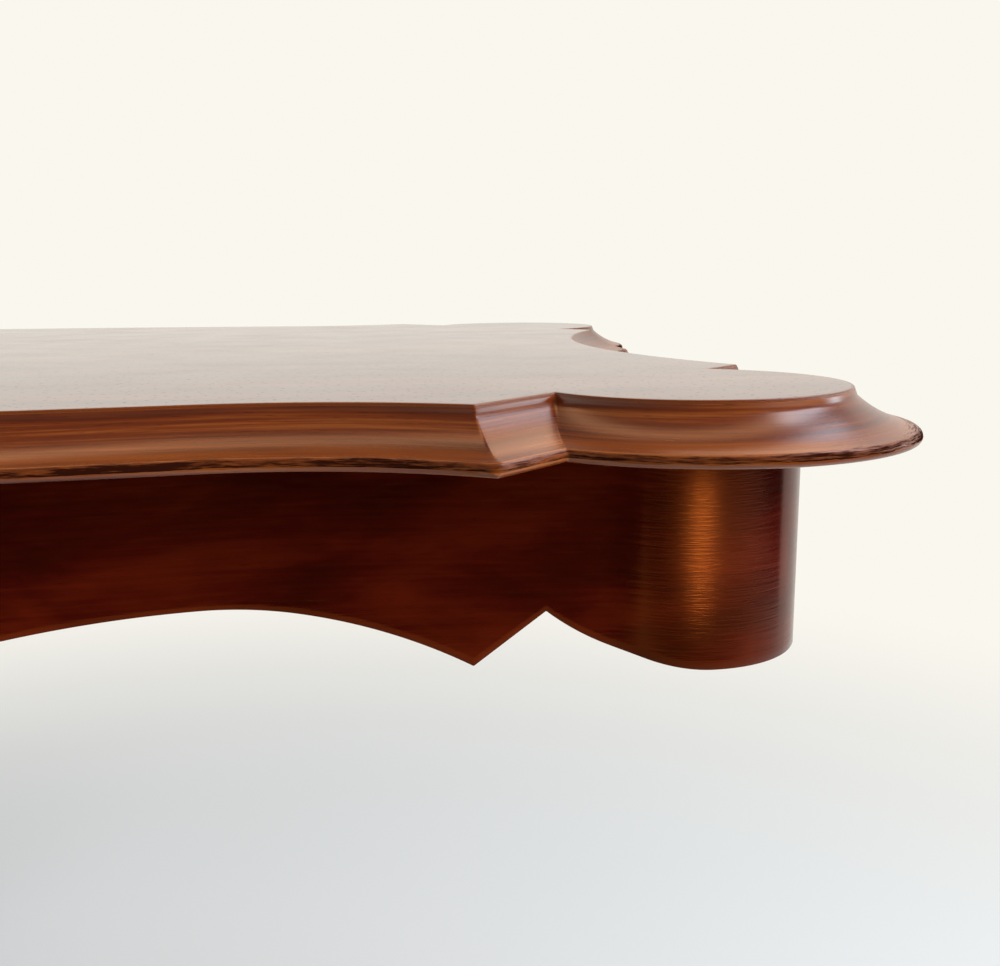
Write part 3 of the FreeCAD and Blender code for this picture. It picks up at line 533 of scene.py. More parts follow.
def between(place, start, finish):
    return start[1] + (finish[1] - start[1]) * (place - start[0]) / (finish[0] - start[0])


def scallop_depth(place, arch, lobe, apron):
    """Depth of the lower edge outside the top of an arch."""
    drop = (lobe - apron.drop_place, apron.drop_depth)
    cusp = (lobe - apron.cusp_place, apron.cusp_depth)
    drum = (lobe, apron.depth)
    if place < drop[0]:
        return level_arc(place, drop, arch)
    if place < cusp[0]:
        return between(place, drop, cusp)
    return level_arc(place, cusp, drum) if place < lobe else apron.depth


def lower_edge(point, lobe, apron):
    """Level of the apron's lower edge at a place in plan."""
    x, y = abs(point.x), abs(point.y)
    crown, arch = (0.0, apron.crown_depth), (apron.arch_place, apron.arch_depth)
    turn = [a + (c - a) * apron.arch_turn for a, c in zip(arch, crown)]
    if x < turn[0]:
        side = level_arc(x, turn, crown)
    else:
        side = level_arc(x, turn, arch) if x < arch[0] else scallop_depth(x, arch, lobe.x, apron)
    end = scallop_depth(y, (0.0, apron.arch_depth), lobe.y, apron)
    return TABLE_TOP - min(side, end)


def crazed_share(point, plan):
    """How far the polish is crazed at a place in plan: most on the two quarters of a drum."""
    outward = Vector((abs(point.x), abs(point.y))) - plan.lobe
    away = math.degrees(outward.angle(plan.square))
    start, finish = next(pair for pair in zip(CRAZED_SHARES, CRAZED_SHARES[1:]) if away <= pair[1][0])
    share = between(away, start, finish)
    return share * share * (3 - 2 * share)


def veneer_strip(name, face, back, plan, apron):
    """Strip of veneer between two outlines, from the underside of the top to the scalloped lower edge."""
    rows = STEPS["veneer"]
    loops, uvs, crazed = [], [], []
    for front, behind, along in zip(face, back, run_lengths(face)):
        low = lower_edge(front, plan.lobe, apron)
        eased = front + (behind - front).normalized() * apron.ease
        fall = low + apron.ease - TOP_UNDERSIDE
        loop = [Vector((*front, TOP_UNDERSIDE + fall * i / rows)) for i in range(rows + 1)]
        loop.append(Vector((*front.lerp(eased, EASED_SHARE), low + EASED_SHARE * apron.ease)))
        loop += [Vector((*eased, low)), Vector((*behind, low)), Vector((*behind, TOP_UNDERSIDE))]
        loops.append(loop)
        uvs.append([(along, point.z) for point in loop])
        share = crazed_share(front, plan)
        crazed.append([share * (1 - CRAZE_FALL * max(0.0, i / rows - CRAZED_HEIGHT_SHARE))
                       for i in range(len(loop))])
    return lofted(name, loops, uvs, crazed)


class TABLE_OT_apron_veneer(bpy.types.Operator):
    """Make the four strips of veneer that run round the apron and meet on the corner drums"""
    bl_idname = "table.apron_veneer"
    bl_label = "Apron veneer"

    def execute(self, context):
        apron, plan = context.scene.table_apron, Plan(context.scene.table_plan)
        insets = (apron.inset, apron.inset + apron.veneer)
        sides = [both_ways(plan.apron_side(apron, inset), -1, 1) for inset in insets]
        ends = [both_ways(plan.apron_end(apron, inset), 1, -1) for inset in insets]
        wood = veneer_mahogany(context.scene.table_finish)
        for side, outlines, x, y in (("back", sides, 1, 1), ("front", sides, 1, -1),
                                     ("right", ends, 1, 1), ("left", ends, -1, 1)):
            face, back = [flipped(line, x, y) for line in outlines]
            mesh = veneer_strip("veneer_" + side, face, back, plan, apron)
            add_piece("veneer_skin_" + side, mesh, wood, "apron_veneer", "apron_veneer_" + side)
        return {"FINISHED"}


# Woods, metals and their patterns

# Sizes of the patterns in millimetres: the length of a streak and its two widths
FIGURE = (260, 15, 15)
VENEER_FIGURE = (70, 24, 24)
FIBRE = (70, 1.6, 1.6)
# Real pores are about 0.2 mm wide; these are drawn at twice that so that they show
PORE = (7, 0.45, 0.45)
WORN_PATCH = (60, 8, 8)
WORN_FIBRE = (9, 0.7, 0.7)
CRACK = (14, 0.7, 0.7)
CLOUD = (40, 30, 30)
DULL_PATCH = (60, 60, 60)
HAMMER_MARK = (9, 9, 9)
RUST_PATCH = (22, 22, 22)
TARNISH = (5, 5, 5)
TOOL_MARK = (3, 3, 0.5)
FLOOR_MOTTLE = (600, 600, 600)
PIT_SPACING = 7
SAW_SPACING = 12.5664
# Waves that a wave texture draws in one unit
WAVES = 20 / math.tau
# Where the flat film of the top gives way to the moulding, in millimetres from the start of the edge
FLAT_ENDS, MOULDING_STARTS = 1.5, 4
# Roughness of the moulding, of worn wood and of crazed polish
MOULDING_ROUGH, WORN_ROUGH, CRAZED_ROUGH = 0.24, 0.6, 0.41
# How far crazed polish spreads light up and down, and how far its cracks take the place of the fibres
CRAZED_SPREAD, CRACKED_SHARE = 0.7, 0.8
# Share of the saw marks in the relief of sawn wood
SAWN_SHARE = 0.4
# Depth of each relief in millimetres
RELIEF = {"top": 0.04, "polished": 0.06, "sawn": 0.2, "iron": 0.4, "steel": 0.05}
# Kinds of node that are used most
RANGE, MIX, MATH, COORDS = "ShaderNodeMapRange", "ShaderNodeMix", "ShaderNodeMath", "ShaderNodeTexCoord"
# Range that holds most of a noise pattern, and the settings that make a mix one of colours
MOST = {"From Min": 0.3, "From Max": 0.7}
COLOURS = {"out": 2, "data_type": "RGBA"}


def add(tree, kind, inputs=None, out=0, stops=(), **settings):
    """Add a node and give one of its sockets; inputs are values or sockets, stops are a ramp's colours."""
    node = tree.nodes.new(kind)
    for key, value in settings.items():
        setattr(node, key, value)
    for key, value in (inputs or {}).items():
        if isinstance(value, bpy.types.NodeSocket):
            tree.links.new(value, node.inputs[key])
        else:
            node.inputs[key].default_value = value
    for place, shade in stops:
        node.color_ramp.elements.new(place).color = (*shade, 1)
    if stops:
        node.color_ramp.elements.remove(node.color_ramp.elements[0])
        node.color_ramp.elements.remove(node.color_ramp.elements[-1])
    return node.outputs[out] if node.outputs else None


def new_material(name, **surface):
    """Material whose plain numbers and colours are set on the shader itself."""
    material = bpy.data.materials.new(name)
    material.use_nodes = True
    tree = material.node_tree
    shader = tree.nodes["Principled BSDF"]
    for key, value in surface.items():
        shader.inputs[key.replace("_", " ").title().replace("Ior", "IOR")].default_value = value
    return material, tree, shader


def finish_surface(tree, shader, base, rough, height, depth):
    """Lead the patterns for colour, roughness and relief to the shader; depth is in millimetres."""
    relief = {"Height": height, "Strength": 1.0, "Distance": depth * MM}
    bump = add(tree, "ShaderNodeBump", relief, out="Normal")
    for socket, pattern in (("Base Color", base), ("Roughness", rough), ("Normal", bump)):
        tree.links.new(pattern, shader.inputs[socket])


def streaks(tree, vector, size, detail=3.0, rough=0.55, warp=0.0):
    """Noise drawn out into streaks of a size in millimetres."""
    scaled = add(tree, "ShaderNodeVectorMath", {0: vector, 1: [1 / (mm * MM) for mm in size]},
                 operation="MULTIPLY")
    return add(tree, "ShaderNodeTexNoise", {"Vector": scaled, "Scale": 1.0, "Detail": detail,
                                            "Roughness": rough, "Distortion": warp})


def grain_colour(tree, vector, shades, pore_shade, figure=FIGURE, fine=0.45):
    """Colour and fibres of wood with its grain along the vector's X: figure, fibres and short dark pores."""
    broad = streaks(tree, vector, figure, warp=0.4)
    fibre = streaks(tree, vector, FIBRE, detail=4.0)
    pores = streaks(tree, vector, PORE, detail=1.0)
    grain = add(tree, MIX, {0: fine, 2: broad, 3: fibre})
    wood = add(tree, "ShaderNodeValToRGB", {0: grain},
               stops=[(0.36, shades[0]), (0.5, shades[1]), (0.64, shades[2])])
    pores = add(tree, RANGE, {"Value": pores, "From Min": 0.62, "From Max": 0.74, "To Min": 0.0,
                              "To Max": 0.55})
    return add(tree, MIX, {0: pores, 6: wood, 7: (*pore_shade, 1)}, **COLOURS), fibre


# French polish over mahogany: a thin warm film. Light that goes through it comes back orange, and at a low
# angle it mirrors what is round it.
POLISH = {"ior": 1.5, "specular_ior_level": 0.62, "specular_tint": (*linear("#FF8130"), 1)}
CLEAR_POLISH = {**POLISH, "specular_tint": (*linear("#FFF0E6"), 1)}


def top_mahogany(finish):
    """French-polished mahogany of the top: streaky orange-brown, nearly a mirror at a low angle.

    Along the moulding it is painted light orange at the foot of the cove and on the nose, partly wood worn
    light by rubbing and partly a painted highlight where the nose catches the light, and worn dark on the
    nose."""
    material, tree, shader = new_material("french_polished_mahogany", **CLEAR_POLISH)
    board = add(tree, COORDS, out="Object")
    edge = add(tree, COORDS, out="UV")
    down = add(tree, "ShaderNodeSeparateXYZ", {0: edge}, out="Y")
    on_edge = add(tree, RANGE, {"Value": down, "From Min": FLAT_ENDS * MM,
                                "From Max": MOULDING_STARTS * MM})
    grain = add(tree, MIX, {0: on_edge, 4: board, 5: edge}, out=1, data_type="VECTOR")
    shades = (finish.top_dark, finish.top_mid, finish.top_light)
    base, fibre = grain_colour(tree, grain, shades, finish.worn)
    dark = (*finish.worn, 1)

    wear = add(tree, "ShaderNodeAttribute", attribute_name="wear", out="Fac")
    patches = streaks(tree, edge, WORN_PATCH, detail=2.0)
    fibres = streaks(tree, edge, WORN_FIBRE, detail=4.0, rough=0.65)
    # Painted highlight: where the share passes a little wear, the foot of the cove and the nose take a light
    # orange, for wood worn light by rubbing and for the light that the rounded nose catches
    light = add(tree, RANGE, {"Value": wear, "From Min": 0.07, "From Max": 0.1})
    uneven = add(tree, RANGE, {"Value": patches, **MOST, "To Min": 0.25, "To Max": 0.8})
    light = add(tree, MATH, {0: light, 1: uneven}, operation="MULTIPLY")
    base = add(tree, MIX, {0: light, 6: base, 7: (*finish.rubbed_and_highlight, 1)}, **COLOURS)
    ragged = add(tree, MIX, {0: 0.5, 2: patches, 3: fibres})
    ragged = add(tree, RANGE, {"Value": ragged, "From Min": 0.36, "From Max": 0.64})
    worn = add(tree, MATH, {0: wear, 1: ragged}, operation="ADD")
    worn = add(tree, RANGE, {"Value": worn, "From Min": 1.02, "From Max": 1.5})
    base = add(tree, MIX, {0: worn, 6: base, 7: dark}, **COLOURS)

    # Small dark pits in the flat film, about a millimetre across
    pit = add(tree, "ShaderNodeTexVoronoi", {"Vector": board, "Scale": 1 / (PIT_SPACING * MM)},
              out="Distance", voronoi_dimensions="2D")
    pit = add(tree, RANGE, {"Value": pit, "From Min": 0.05, "From Max": 0.13, "To Min": 0.9, "To Max": 0.0})
    pit = add(tree, MATH, {0: pit, 1: on_edge}, operation="SUBTRACT", use_clamp=True)
    base = add(tree, MIX, {0: pit, 6: base, 7: dark}, **COLOURS)
    cloudy = streaks(tree, board, CLOUD, detail=5.0)
    rough = add(tree, RANGE, {"Value": cloudy, **MOST, "To Min": 0.1, "To Max": 0.14})
    rough = add(tree, MIX, {0: on_edge, 2: rough, 3: MOULDING_ROUGH})
    rough = add(tree, MIX, {0: worn, 2: rough, 3: WORN_ROUGH})
    bare = add(tree, MATH, {0: worn, 1: pit}, operation="MAXIMUM")
    bare = add(tree, MIX, {0: bare, 2: CLEAR_POLISH["specular_ior_level"], 3: 0.0})
    tree.links.new(bare, shader.inputs["Specular IOR Level"])
    # The film fills the grain on the flat, and follows it on the moulding
    shown = add(tree, RANGE, {"Value": on_edge, "To Min": 0.15})
    relief = add(tree, MATH, {0: fibre, 1: shown}, operation="MULTIPLY")
    finish_surface(tree, shader, base, rough, relief, RELIEF["top"])
    return material


def veneer_mahogany(finish):
    """French-polished mahogany veneer: deep red-brown, its grain level round the apron.

    On the drums fine cracks run level through the polish, so that light spreads up and down there."""
    material, tree, shader = new_material("french_polished_mahogany_veneer", **POLISH,
                                          anisotropic_rotation=0.25)
    strip = add(tree, COORDS, out="UV")
    shades = (finish.veneer_dark, finish.veneer_mid, finish.veneer_light)
    base, fibre = grain_colour(tree, strip, shades, finish.veneer_dark, figure=VENEER_FIGURE, fine=0.25)
    crazing = streaks(tree, strip, CRACK, detail=2.0)
    rough = add(tree, RANGE, {"Value": crazing, "From Min": 0.35, "From Max": 0.7, "To Min": 0.12,
                              "To Max": 0.22})
    crazed = add(tree, "ShaderNodeAttribute", attribute_name="wear", out="Fac")
    rough = add(tree, MIX, {0: crazed, 2: rough, 3: CRAZED_ROUGH})
    spread = add(tree, MATH, {0: crazed, 1: CRAZED_SPREAD}, operation="MULTIPLY")
    glossy = add(tree, MIX, {0: crazed, 2: POLISH["specular_ior_level"], 3: 1.0})
    level = add(tree, "ShaderNodeTangent", direction_type="UV_MAP", uv_map="grain")
    for socket, pattern in (("Anisotropic", spread), ("Specular IOR Level", glossy), ("Tangent", level)):
        tree.links.new(pattern, shader.inputs[socket])
    cracks = add(tree, RANGE, {"Value": crazing, "From Min": 0.46, "From Max": 0.58})
    cracked = add(tree, MATH, {0: crazed, 1: CRACKED_SHARE}, operation="MULTIPLY")
    height = add(tree, MIX, {0: cracked, 2: fibre, 3: cracks})
    finish_surface(tree, shader, base, rough, height, RELIEF["polished"])
    return material


def base_mahogany(finish, name, turn):
    """Polished solid mahogany of the base; turn brings the piece's grain along X."""
    material, tree, shader = new_material("polished_mahogany_" + name, **POLISH)
    place = add(tree, COORDS, out="Object")
    along = add(tree, "ShaderNodeMapping", {"Vector": place, "Rotation": turn})
    shades = (finish.veneer_dark, finish.veneer_mid, finish.veneer_light)
    base, fibre = grain_colour(tree, along, shades, finish.veneer_dark)
    dull = streaks(tree, place, DULL_PATCH, detail=4.0)
    rough = add(tree, RANGE, {"Value": dull, **MOST, "To Min": 0.22, "To Max": 0.4})
    finish_surface(tree, shader, base, rough, fibre, RELIEF["polished"])
    return material


def sawn_pine(finish, name, turn):
    """Sawn pine out of sight: dry, pale and dull, with saw marks across the grain."""
    material, tree, shader = new_material("sawn_pine_" + name, specular_ior_level=0.25)
    place = add(tree, COORDS, out="Object")
    along = add(tree, "ShaderNodeMapping", {"Vector": place, "Rotation": turn})
    shades = [tuple(share * channel for channel in finish.carcase) for share in (0.6, 1.0, 1.25)]
    base, fibre = grain_colour(tree, along, shades, shades[0])
    saw = add(tree, "ShaderNodeTexWave",
              {"Vector": along, "Scale": 1 / (WAVES * SAW_SPACING * MM), "Distortion": 3.0},
              wave_type="BANDS", bands_direction="X", out="Fac")
    height = add(tree, MIX, {0: SAWN_SHARE, 2: fibre, 3: saw})
    rough = add(tree, RANGE, {"Value": fibre, "To Min": 0.65, "To Max": 0.85})
    finish_surface(tree, shader, base, rough, height, RELIEF["sawn"])
    return material


def forged_iron(finish):
    """Forged iron with its black scale: dark, uneven and half dull, rust showing in patches."""
    material, tree, shader = new_material("forged_iron", metallic=0.8)
    place = add(tree, COORDS, out="Object")
    hammer = streaks(tree, place, HAMMER_MARK, detail=2.0)
    rust = streaks(tree, place, RUST_PATCH, detail=5.0, rough=0.65)
    rust = add(tree, RANGE, {"Value": rust, "From Min": 0.52, "From Max": 0.66, "To Max": 0.7})
    base = add(tree, MIX, {0: rust, 6: (*finish.iron, 1), 7: (*finish.worn, 1)}, **COLOURS)
    rough = add(tree, RANGE, {"Value": hammer, "To Min": 0.45, "To Max": 0.75})
    finish_surface(tree, shader, base, rough, hammer, RELIEF["iron"])
    return material


def turned_steel(finish):
    """Turned steel of the screws: grey metal with fine tool marks, a little tarnished."""
    material, tree, shader = new_material("turned_steel", metallic=1.0)
    place = add(tree, COORDS, out="Object")
    tarnish = streaks(tree, place, TARNISH, detail=4.0)
    base = add(tree, MIX, {0: tarnish, 6: (*finish.steel, 1), 7: (*finish.iron, 1)}, **COLOURS)
    marks = streaks(tree, place, TOOL_MARK, detail=2.0)
    rough = add(tree, RANGE, {"Value": tarnish, "To Min": 0.3, "To Max": 0.55})
    finish_surface(tree, shader, base, rough, marks, RELIEF["steel"])
    return material


def dress(material, *nodes):
    """Give pieces of the frame their material."""
    for node in nodes:
        for place in NODES[node].material_slots:
            place.material = material


# Carcase, out of sight under the top

UPRIGHT_GRAIN = (0, math.pi / 2, 0)
ACROSS_GRAIN = (0, 0, -math.pi / 2)


class TABLE_OT_carcase(bpy.types.Operator):
    """Finish the sawn pieces inside the apron and under the top"""
    bl_idname = "table.carcase"
    bl_label = "Carcase"

    def execute(self, context):
        finish = context.scene.table_finish
        dress(sawn_pine(finish, "lengthwise", (0, 0, 0)), "apron_rail_front", "apron_rail_back",
              "bearer_long", "top_loose_tongues", "apron_dowels", "glue_blocks")
        dress(sawn_pine(finish, "crosswise", ACROSS_GRAIN), "apron_rail_left", "apron_rail_right",
              "bearer_cross")
        dress(sawn_pine(finish, "upright", UPRIGHT_GRAIN), "column_wedge",
              *["apron_corner_" + corner for corner in CORNERS])
        return {"FINISHED"}


# Turned column, legs and their carved scrolls

def geometry_tree(name, **sizes):
    """Geometry tree with a named input for each size, given as its kind of socket."""
    tree = bpy.data.node_groups.new(name, "GeometryNodeTree")
    tree.interface.new_socket("Places", in_out="INPUT", socket_type="NodeSocketGeometry")
    tree.interface.new_socket("Pieces", in_out="OUTPUT", socket_type="NodeSocketGeometry")
    for size, kind in sizes.items():
        tree.interface.new_socket(size, in_out="INPUT", socket_type="NodeSocket" + kind)
    return tree, tree.nodes.new("NodeGroupInput").outputs


def set_out(tree, given, piece, turn, material):
    """End a geometry tree: a copy of the piece, turned, on each of the given places."""
    placed = add(tree, "GeometryNodeInstanceOnPoints", {"Points": given["Places"], "Instance": piece,
                                                        "Rotation": turn})
    solid = add(tree, "GeometryNodeRealizeInstances", {"Geometry": placed})
    finished = add(tree, "GeometryNodeSetMaterial", {"Geometry": solid, "Material": given[material]})
    add(tree, "NodeGroupOutput", {"Pieces": finished})
    return tree


def grown(name, places, tree, **values):
    """Plain mesh of what a geometry tree makes on a mesh of places."""
    holder = bpy.data.objects.new(name, places)
    bpy.context.scene.collection.objects.link(holder)
    grow = holder.modifiers.new(name, "NODES")
    grow.node_group = tree
    for socket in tree.interface.items_tree:
        if socket.in_out == "INPUT" and socket.name in values:
            grow[socket.identifier] = values[socket.name]
    graph = bpy.context.evaluated_depsgraph_get()
    mesh = bpy.data.meshes.new_from_object(holder.evaluated_get(graph), depsgraph=graph)
    holder.modifiers.remove(grow)
    bpy.data.objects.remove(holder)
    return mesh


SCROLL_STEPS = 40
BEAD_SIDES = 12


def scroll_tree():
    """Raised spiral beads, each facing along its place's own direction."""
    tree, given = geometry_tree("carved_scrolls", Turns="Float", Outer="Float", Eye="Float", Bead="Float",
                                Wood="Material")
    spiral = add(tree, "GeometryNodeCurveSpiral",
                 {"Resolution": SCROLL_STEPS, "Rotations": given["Turns"], "Start Radius": given["Eye"],
                  "End Radius": given["Outer"], "Height": 0.0})
    bead = add(tree, "GeometryNodeCurvePrimitiveCircle", {"Resolution": BEAD_SIDES, "Radius": given["Bead"]})
    carved = add(tree, "GeometryNodeCurveToMesh", {"Curve": spiral, "Profile Curve": bead,
                                                   "Fill Caps": True})
    carved = add(tree, "GeometryNodeSetShadeSmooth", {"Geometry": carved})
    facing = add(tree, "GeometryNodeInputNamedAttribute", {"Name": "facing"}, data_type="FLOAT_VECTOR")
    turned = add(tree, "FunctionNodeAlignRotationToVector", {"Vector": facing}, axis="Z")
    return set_out(tree, given, carved, turned, "Wood")


class TABLE_OT_base(bpy.types.Operator):
    """Finish the column, legs and drop, and carve the scrolls on the volutes"""
    bl_idname = "table.base"
    bl_label = "Base"

    def execute(self, context):
        finish, sizes = context.scene.table_finish, context.scene.table_base
        turned = base_mahogany(finish, "turned", UPRIGHT_GRAIN)
        dress(turned, "column", "drop_finial")
        scrolls, facings = [], []
        for corner, degrees in CORNERS.items():
            turn = math.radians(degrees)
            dress(base_mahogany(finish, "leg_" + corner, (0, 0, -turn)), "leg_" + corner)
            out = Vector((math.cos(turn), math.sin(turn), 0))
            side = Vector((-out.y, out.x, 0))
            axis = out * sizes.leg_reach + Vector((0, 0, sizes.volute_radius))
            for facing in (side, -side):
                scrolls.append(axis + facing * sizes.volute_width / 2)
                facings.append(facing)
        places = bpy.data.meshes.new("scroll_places")
        places.from_pydata(scrolls, [], [])
        places.attributes.new("facing", "FLOAT_VECTOR", "POINT").data.foreach_set(
            "vector", [value for facing in facings for value in facing])
        bead = sizes.bead
        mesh = grown("scrolls", places, scroll_tree(), Turns=sizes.scroll_turns, Eye=2 * bead,
                     Outer=sizes.volute_radius - 2 * bead, Bead=bead, Wood=turned)
        add_piece("carved_scrolls", mesh, turned, "base_wood")
        return {"FINISHED"}


# Iron plate and wood screws

HEAD_SIDES = 32
SHANK_SIDES = 24
SLOT_SEED = 5


def screw_tree():
    """Slotted wood screws, driven upwards, each slot left at its own angle."""
    tree, given = geometry_tree("slotted_screws", Head="Float", Shank="Float", Sink="Float", Length="Float",
                                Slot="Float", Steel="Material")
    head = add(tree, "GeometryNodeMeshCone", {"Vertices": HEAD_SIDES, "Radius Top": given["Shank"],
                                              "Radius Bottom": given["Head"], "Depth": given["Sink"]})
    # The bar that cuts the slot runs past the head, and half of it is in the head: the slot is square
    across = add(tree, MATH, {0: given["Head"], 1: 3.0}, operation="MULTIPLY")
    depth = add(tree, MATH, {0: given["Slot"], 1: 2.0}, operation="MULTIPLY")
    bar = add(tree, "ShaderNodeCombineXYZ", {"X": across, "Y": given["Slot"], "Z": depth})
    bar = add(tree, "GeometryNodeMeshCube", {"Size": bar})
    head = add(tree, "GeometryNodeMeshBoolean", {"Mesh 1": head, "Mesh 2": bar}, operation="DIFFERENCE",
               solver="EXACT")
    shank = add(tree, "GeometryNodeMeshCone", {"Vertices": SHANK_SIDES, "Radius Top": 0.0,
                                               "Radius Bottom": given["Shank"], "Depth": given["Length"]})
    whole = tree.nodes.new("GeometryNodeJoinGeometry")
    for part in (head, shank):
        tree.links.new(part, whole.inputs[0])
    turn = add(tree, "FunctionNodeRandomValue", {1: (0.0, 0.0, math.pi), "Seed": SLOT_SEED},
               data_type="FLOAT_VECTOR")
    return set_out(tree, given, whole.outputs[0], turn, "Steel")


def head_places(node, radius):
    """Middle of each screw's head, from the lowest points of the node's screws."""
    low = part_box(node)[0].z
    groups = []
    for vertex in NODES[node].data.vertices:
        if vertex.co.z > low + radius / 10:
            continue
        near = [group for group in groups if (group[0] - vertex.co).length < 2 * radius]
        if near:
            near[0].append(vertex.co.copy())
        else:
            groups.append([vertex.co.copy()])
    middles = []
    for group in groups:
        spans = [[point[axis] for point in group] for axis in range(3)]
        middles.append(Vector([(min(span) + max(span)) / 2 for span in spans]))
    return middles


class TABLE_OT_ironwork(bpy.types.Operator):
    """Finish the iron plate and make the slotted screws"""
    bl_idname = "table.ironwork"
    bl_label = "Iron plate and screws"

    def execute(self, context):
        finish, sizes = context.scene.table_finish, context.scene.table_base
        dress(forged_iron(finish), "spider_plate")
        steel = turned_steel(finish)
        tree = screw_tree()
        for node in ("bearer_screws", "spider_screws"):
            low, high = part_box(node)
            places = bpy.data.meshes.new(node + "_places")
            places.from_pydata(head_places(node, sizes.screw_head), [], [])
            mesh = grown(node + "_grown", places, tree, Head=sizes.screw_head, Shank=sizes.screw_shank,
                         Sink=sizes.screw_sink, Length=high.z - low.z, Slot=sizes.screw_slot, Steel=steel)
            add_piece("slotted_" + node, mesh, steel, "screw_steel", node)
        return {"FINISHED"}


# Floor, light and camera

# Each lamp's place and two sides, in metres, and its colour. All of them face the right half of the top.
PLAIN, COOL = (1, 1, 1), (0.72, 0.84, 1)
LAMPS = {
    "overhead": ((0.3, 0.4, 2.6), (2.4, 2.4), PLAIN),
    "side": ((1.7, -1.1, 1.5), (1.0, 1.0), PLAIN),
    "skylight": ((1.71, 0.12, 2.17), (0.63, 0.78), COOL),
    "cool_wall": ((1.53, 0.87, 2.02), (0.5, 0.45), COOL),
    "low_sky": ((2.24, 0.09, 1.15), (0.4, 0.4), (0.6, 0.84, 1)),
    "warm_wall": ((1.09, 1.23, 1.8), (0.6, 0.5), (1, 0.62, 0.4)),
    "high_window": ((0.5, 0.7, 2.68), (3.0, 0.4), (1, 0.55, 0.28)),
    "glint": ((0.44, -1.76, 1.2), (0.25, 0.65), PLAIN),
}
LAMP_TARGET = Vector((0.2, 0, TABLE_TOP))
NOT_MIRRORED = ("overhead", "side")
ONLY_MIRRORED = ("skylight", "cool_wall", "low_sky", "warm_wall", "glint")
# How high a direction looks where the white walls end and where the dim ceiling starts, 1 being straight up
WALLS_END, CEILING_STARTS = 0.4, 0.56
IMAGE_WIDTH = 1000
FOCAL_PIXELS = 1100


class TABLE_OT_stage(bpy.types.Operator):
    """Lay the pale floor, set the soft light and place the camera"""
    bl_idname = "table.stage"
    bl_label = "Stage"

    def execute(self, context):
        finish, sizes = context.scene.table_finish, context.scene.table_stage
        lay_floor(finish, sizes)
        hang_cloth(finish, sizes)
        light_room(finish, sizes)
        add_lamps(context.scene, sizes)
        place_camera(context.scene, sizes)
        context.scene.view_settings.view_transform = "Standard"
        return {"FINISHED"}


def flat_sheet(name, middle, right, up, material):
    """Flat rectangle by its middle and its two half sides."""
    mesh = bpy.data.meshes.new(name)
    mesh.from_pydata([middle - right - up, middle + right - up, middle + right + up, middle - right + up],
                     [], [(0, 1, 2, 3)])
    sheet = bpy.data.objects.new(name, mesh)
    bpy.context.scene.collection.objects.link(sheet)
    mesh.materials.append(material)
    return sheet


def seen_rays(tree):
    """1 for rays that look at a surface or mirror it, 0 for rays that light the table."""
    seen = add(tree, "ShaderNodeLightPath", out="Is Camera Ray")
    for ray in ("Is Glossy Ray", "Is Transmission Ray"):
        seen = add(tree, MATH, {0: seen, 1: add(tree, "ShaderNodeLightPath", out=ray)}, operation="MAXIMUM")
    return seen


def lay_floor(finish, sizes):
    """Pale painted floor, a little mottled, that fades into the backdrop away from the table."""
    material, tree, shader = new_material("pale_painted_floor", roughness=0.9, specular_ior_level=0.1)
    place = add(tree, COORDS, out="Object")
    mottle = streaks(tree, place, FLOOR_MOTTLE)
    mottle = add(tree, RANGE, {"Value": mottle, "To Min": 0.0, "To Max": 0.12})
    paint = add(tree, MIX, {0: mottle, 6: (*finish.floor, 1), 7: (*finish.backdrop, 1)}, **COLOURS)
    tree.links.new(paint, shader.inputs["Base Color"])
    away = add(tree, "ShaderNodeVectorMath", {0: place}, out="Value", operation="LENGTH")
    away = add(tree, RANGE, {"Value": away, "From Min": sizes.fade_start, "From Max": sizes.fade_end},
               interpolation_type="SMOOTHSTEP")
    fade = add(tree, MATH, {0: away, 1: seen_rays(tree)}, operation="MULTIPLY")
    haze = add(tree, "ShaderNodeEmission", {"Color": (*finish.backdrop, 1), "Strength": 1.0})
    faded = add(tree, "ShaderNodeMixShader", {0: fade, 1: shader.outputs[0], 2: haze})
    tree.links.new(faded, tree.nodes["Material Output"].inputs["Surface"])
    half = sizes.floor
    flat_sheet("floor", Vector((0, 0, 0)), Vector((half, 0, 0)), Vector((0, half, 0)), material)


def hang_cloth(finish, sizes):
    """Dark cloths in front and on the right, out of the camera's sight, for the polish to mirror."""
    material = new_material("dark_cloth", roughness=1.0, specular_ior_level=0.0,
                            base_color=(*finish.worn, 1))[0]
    up = Vector((0, 0, sizes.cloth / 2))
    front = Vector((0, -sizes.cloth_away, 0)) + up
    right = Vector((sizes.cloth_side, -sizes.cloth_away / 2, 0)) + up
    for name, middle, half in (("front_cloth", front, Vector((sizes.cloth_side, 0, 0))),
                               ("side_cloth", right, Vector((0, sizes.cloth_away / 2, 0)))):
        cloth = flat_sheet(name, middle, half, up, material)
        cloth.visible_camera = False
        cloth.visible_diffuse = False
        cloth.visible_shadow = False


def light_room(finish, sizes):
    """White walls and a dim ceiling for what looks at them or mirrors them, and a softer light from them."""
    world = bpy.data.worlds.new("pale_room")
    bpy.context.scene.world = world
    world.use_nodes = True
    tree = world.node_tree
    tree.nodes.clear()
    soft = add(tree, "ShaderNodeBackground", {"Color": (1, 1, 1, 1), "Strength": sizes.room_light})
    height = add(tree, "ShaderNodeSeparateXYZ", {0: add(tree, COORDS, out="Object")}, out="Z")
    level = add(tree, RANGE, {"Value": height, "From Min": WALLS_END, "From Max": CEILING_STARTS,
                              "To Min": 1.0, "To Max": sizes.ceiling})
    white = add(tree, "ShaderNodeBackground", {"Color": (*finish.backdrop, 1), "Strength": level})
    room = add(tree, "ShaderNodeMixShader", {0: seen_rays(tree), 1: soft, 2: white})
    add(tree, "ShaderNodeOutputWorld", {"Surface": room})


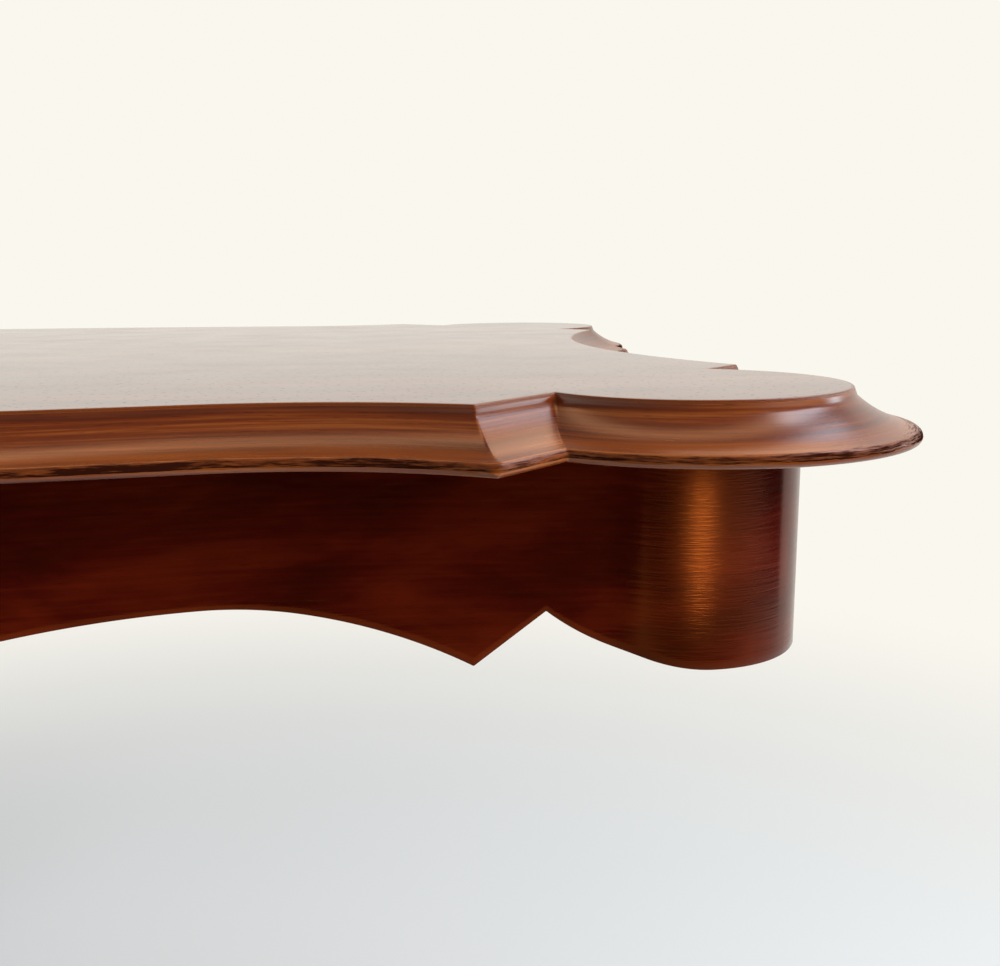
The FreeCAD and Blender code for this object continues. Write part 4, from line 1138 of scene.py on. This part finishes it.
def add_lamps(scene, sizes):
    """Rectangular lamps that the camera doesn't see; the glint lights the veneer alone."""
    for name, (place, sides, shade) in LAMPS.items():
        lamp = bpy.data.lights.new(name, "AREA")
        lamp.shape = "RECTANGLE"
        lamp.size, lamp.size_y = sides
        lamp.energy, lamp.color = getattr(sizes, name), shade
        holder = bpy.data.objects.new(name, lamp)
        facing = (LAMP_TARGET - Vector(place)).to_track_quat("-Z", "Y")
        holder.matrix_world = Matrix.Translation(place) @ facing.to_matrix().to_4x4()
        holder.visible_camera = False
        holder.visible_glossy = name not in NOT_MIRRORED
        holder.visible_diffuse = name not in ONLY_MIRRORED
        scene.collection.objects.link(holder)
    veneers = bpy.data.collections.new("veneered_pieces")
    scene.objects["glint"].light_linking.receiver_collection = veneers
    for piece in scene.objects:
        if piece.name.startswith("veneer_skin"):
            veneers.objects.link(piece)


def place_camera(scene, sizes):
    camera = bpy.data.cameras.new("camera")
    camera.sensor_fit = "HORIZONTAL"
    camera.lens = camera.sensor_width * FOCAL_PIXELS / IMAGE_WIDTH
    holder = bpy.data.objects.new("camera", camera)
    yaw = Matrix.Rotation(-sizes.camera_yaw, 4, "Z")
    pitch = Matrix.Rotation(math.pi / 2 - sizes.camera_pitch, 4, "X")
    roll = Matrix.Rotation(sizes.camera_roll, 4, "Z")
    holder.matrix_world = Matrix.Translation(sizes.camera_place) @ yaw @ pitch @ roll
    scene.collection.objects.link(holder)
    scene.camera = holder


class TABLE_PT_sidebar(bpy.types.Panel):
    bl_label = "Shaped-top table"
    bl_idname = "TABLE_PT_sidebar"
    bl_space_type = "VIEW_3D"
    bl_region_type = "UI"
    bl_category = "Table"

    def draw(self, context):
        for operator in OPERATORS:
            self.layout.operator(operator.bl_idname)
        for name, group in GROUPS.items():
            column = self.layout.column(align=True)
            column.label(text=group.bl_rna.name)
            for size in group.__annotations__:
                column.prop(getattr(context.scene, name), size)


GROUPS = {"table_plan": PlanSizes, "table_edge": EdgeSizes, "table_apron": ApronSizes,
          "table_base": BaseSizes, "table_finish": Finishes, "table_stage": StageSizes}
OPERATORS = (TABLE_OT_top_boards, TABLE_OT_apron_veneer, TABLE_OT_carcase, TABLE_OT_base, TABLE_OT_ironwork,
             TABLE_OT_stage)
CLASSES = (*GROUPS.values(), *OPERATORS, TABLE_PT_sidebar)


def register():
    for item in CLASSES:
        bpy.utils.register_class(item)
    for name, group in GROUPS.items():
        setattr(bpy.types.Scene, name, bpy.props.PointerProperty(type=group))


def unregister():
    for name in GROUPS:
        delattr(bpy.types.Scene, name)
    for item in reversed(CLASSES):
        bpy.utils.unregister_class(item)


def main():
    register()
    for operator in OPERATORS:
        family, name = operator.bl_idname.split(".")
        getattr(getattr(bpy.ops, family), name)()


if __name__ == "__main__":
    main()
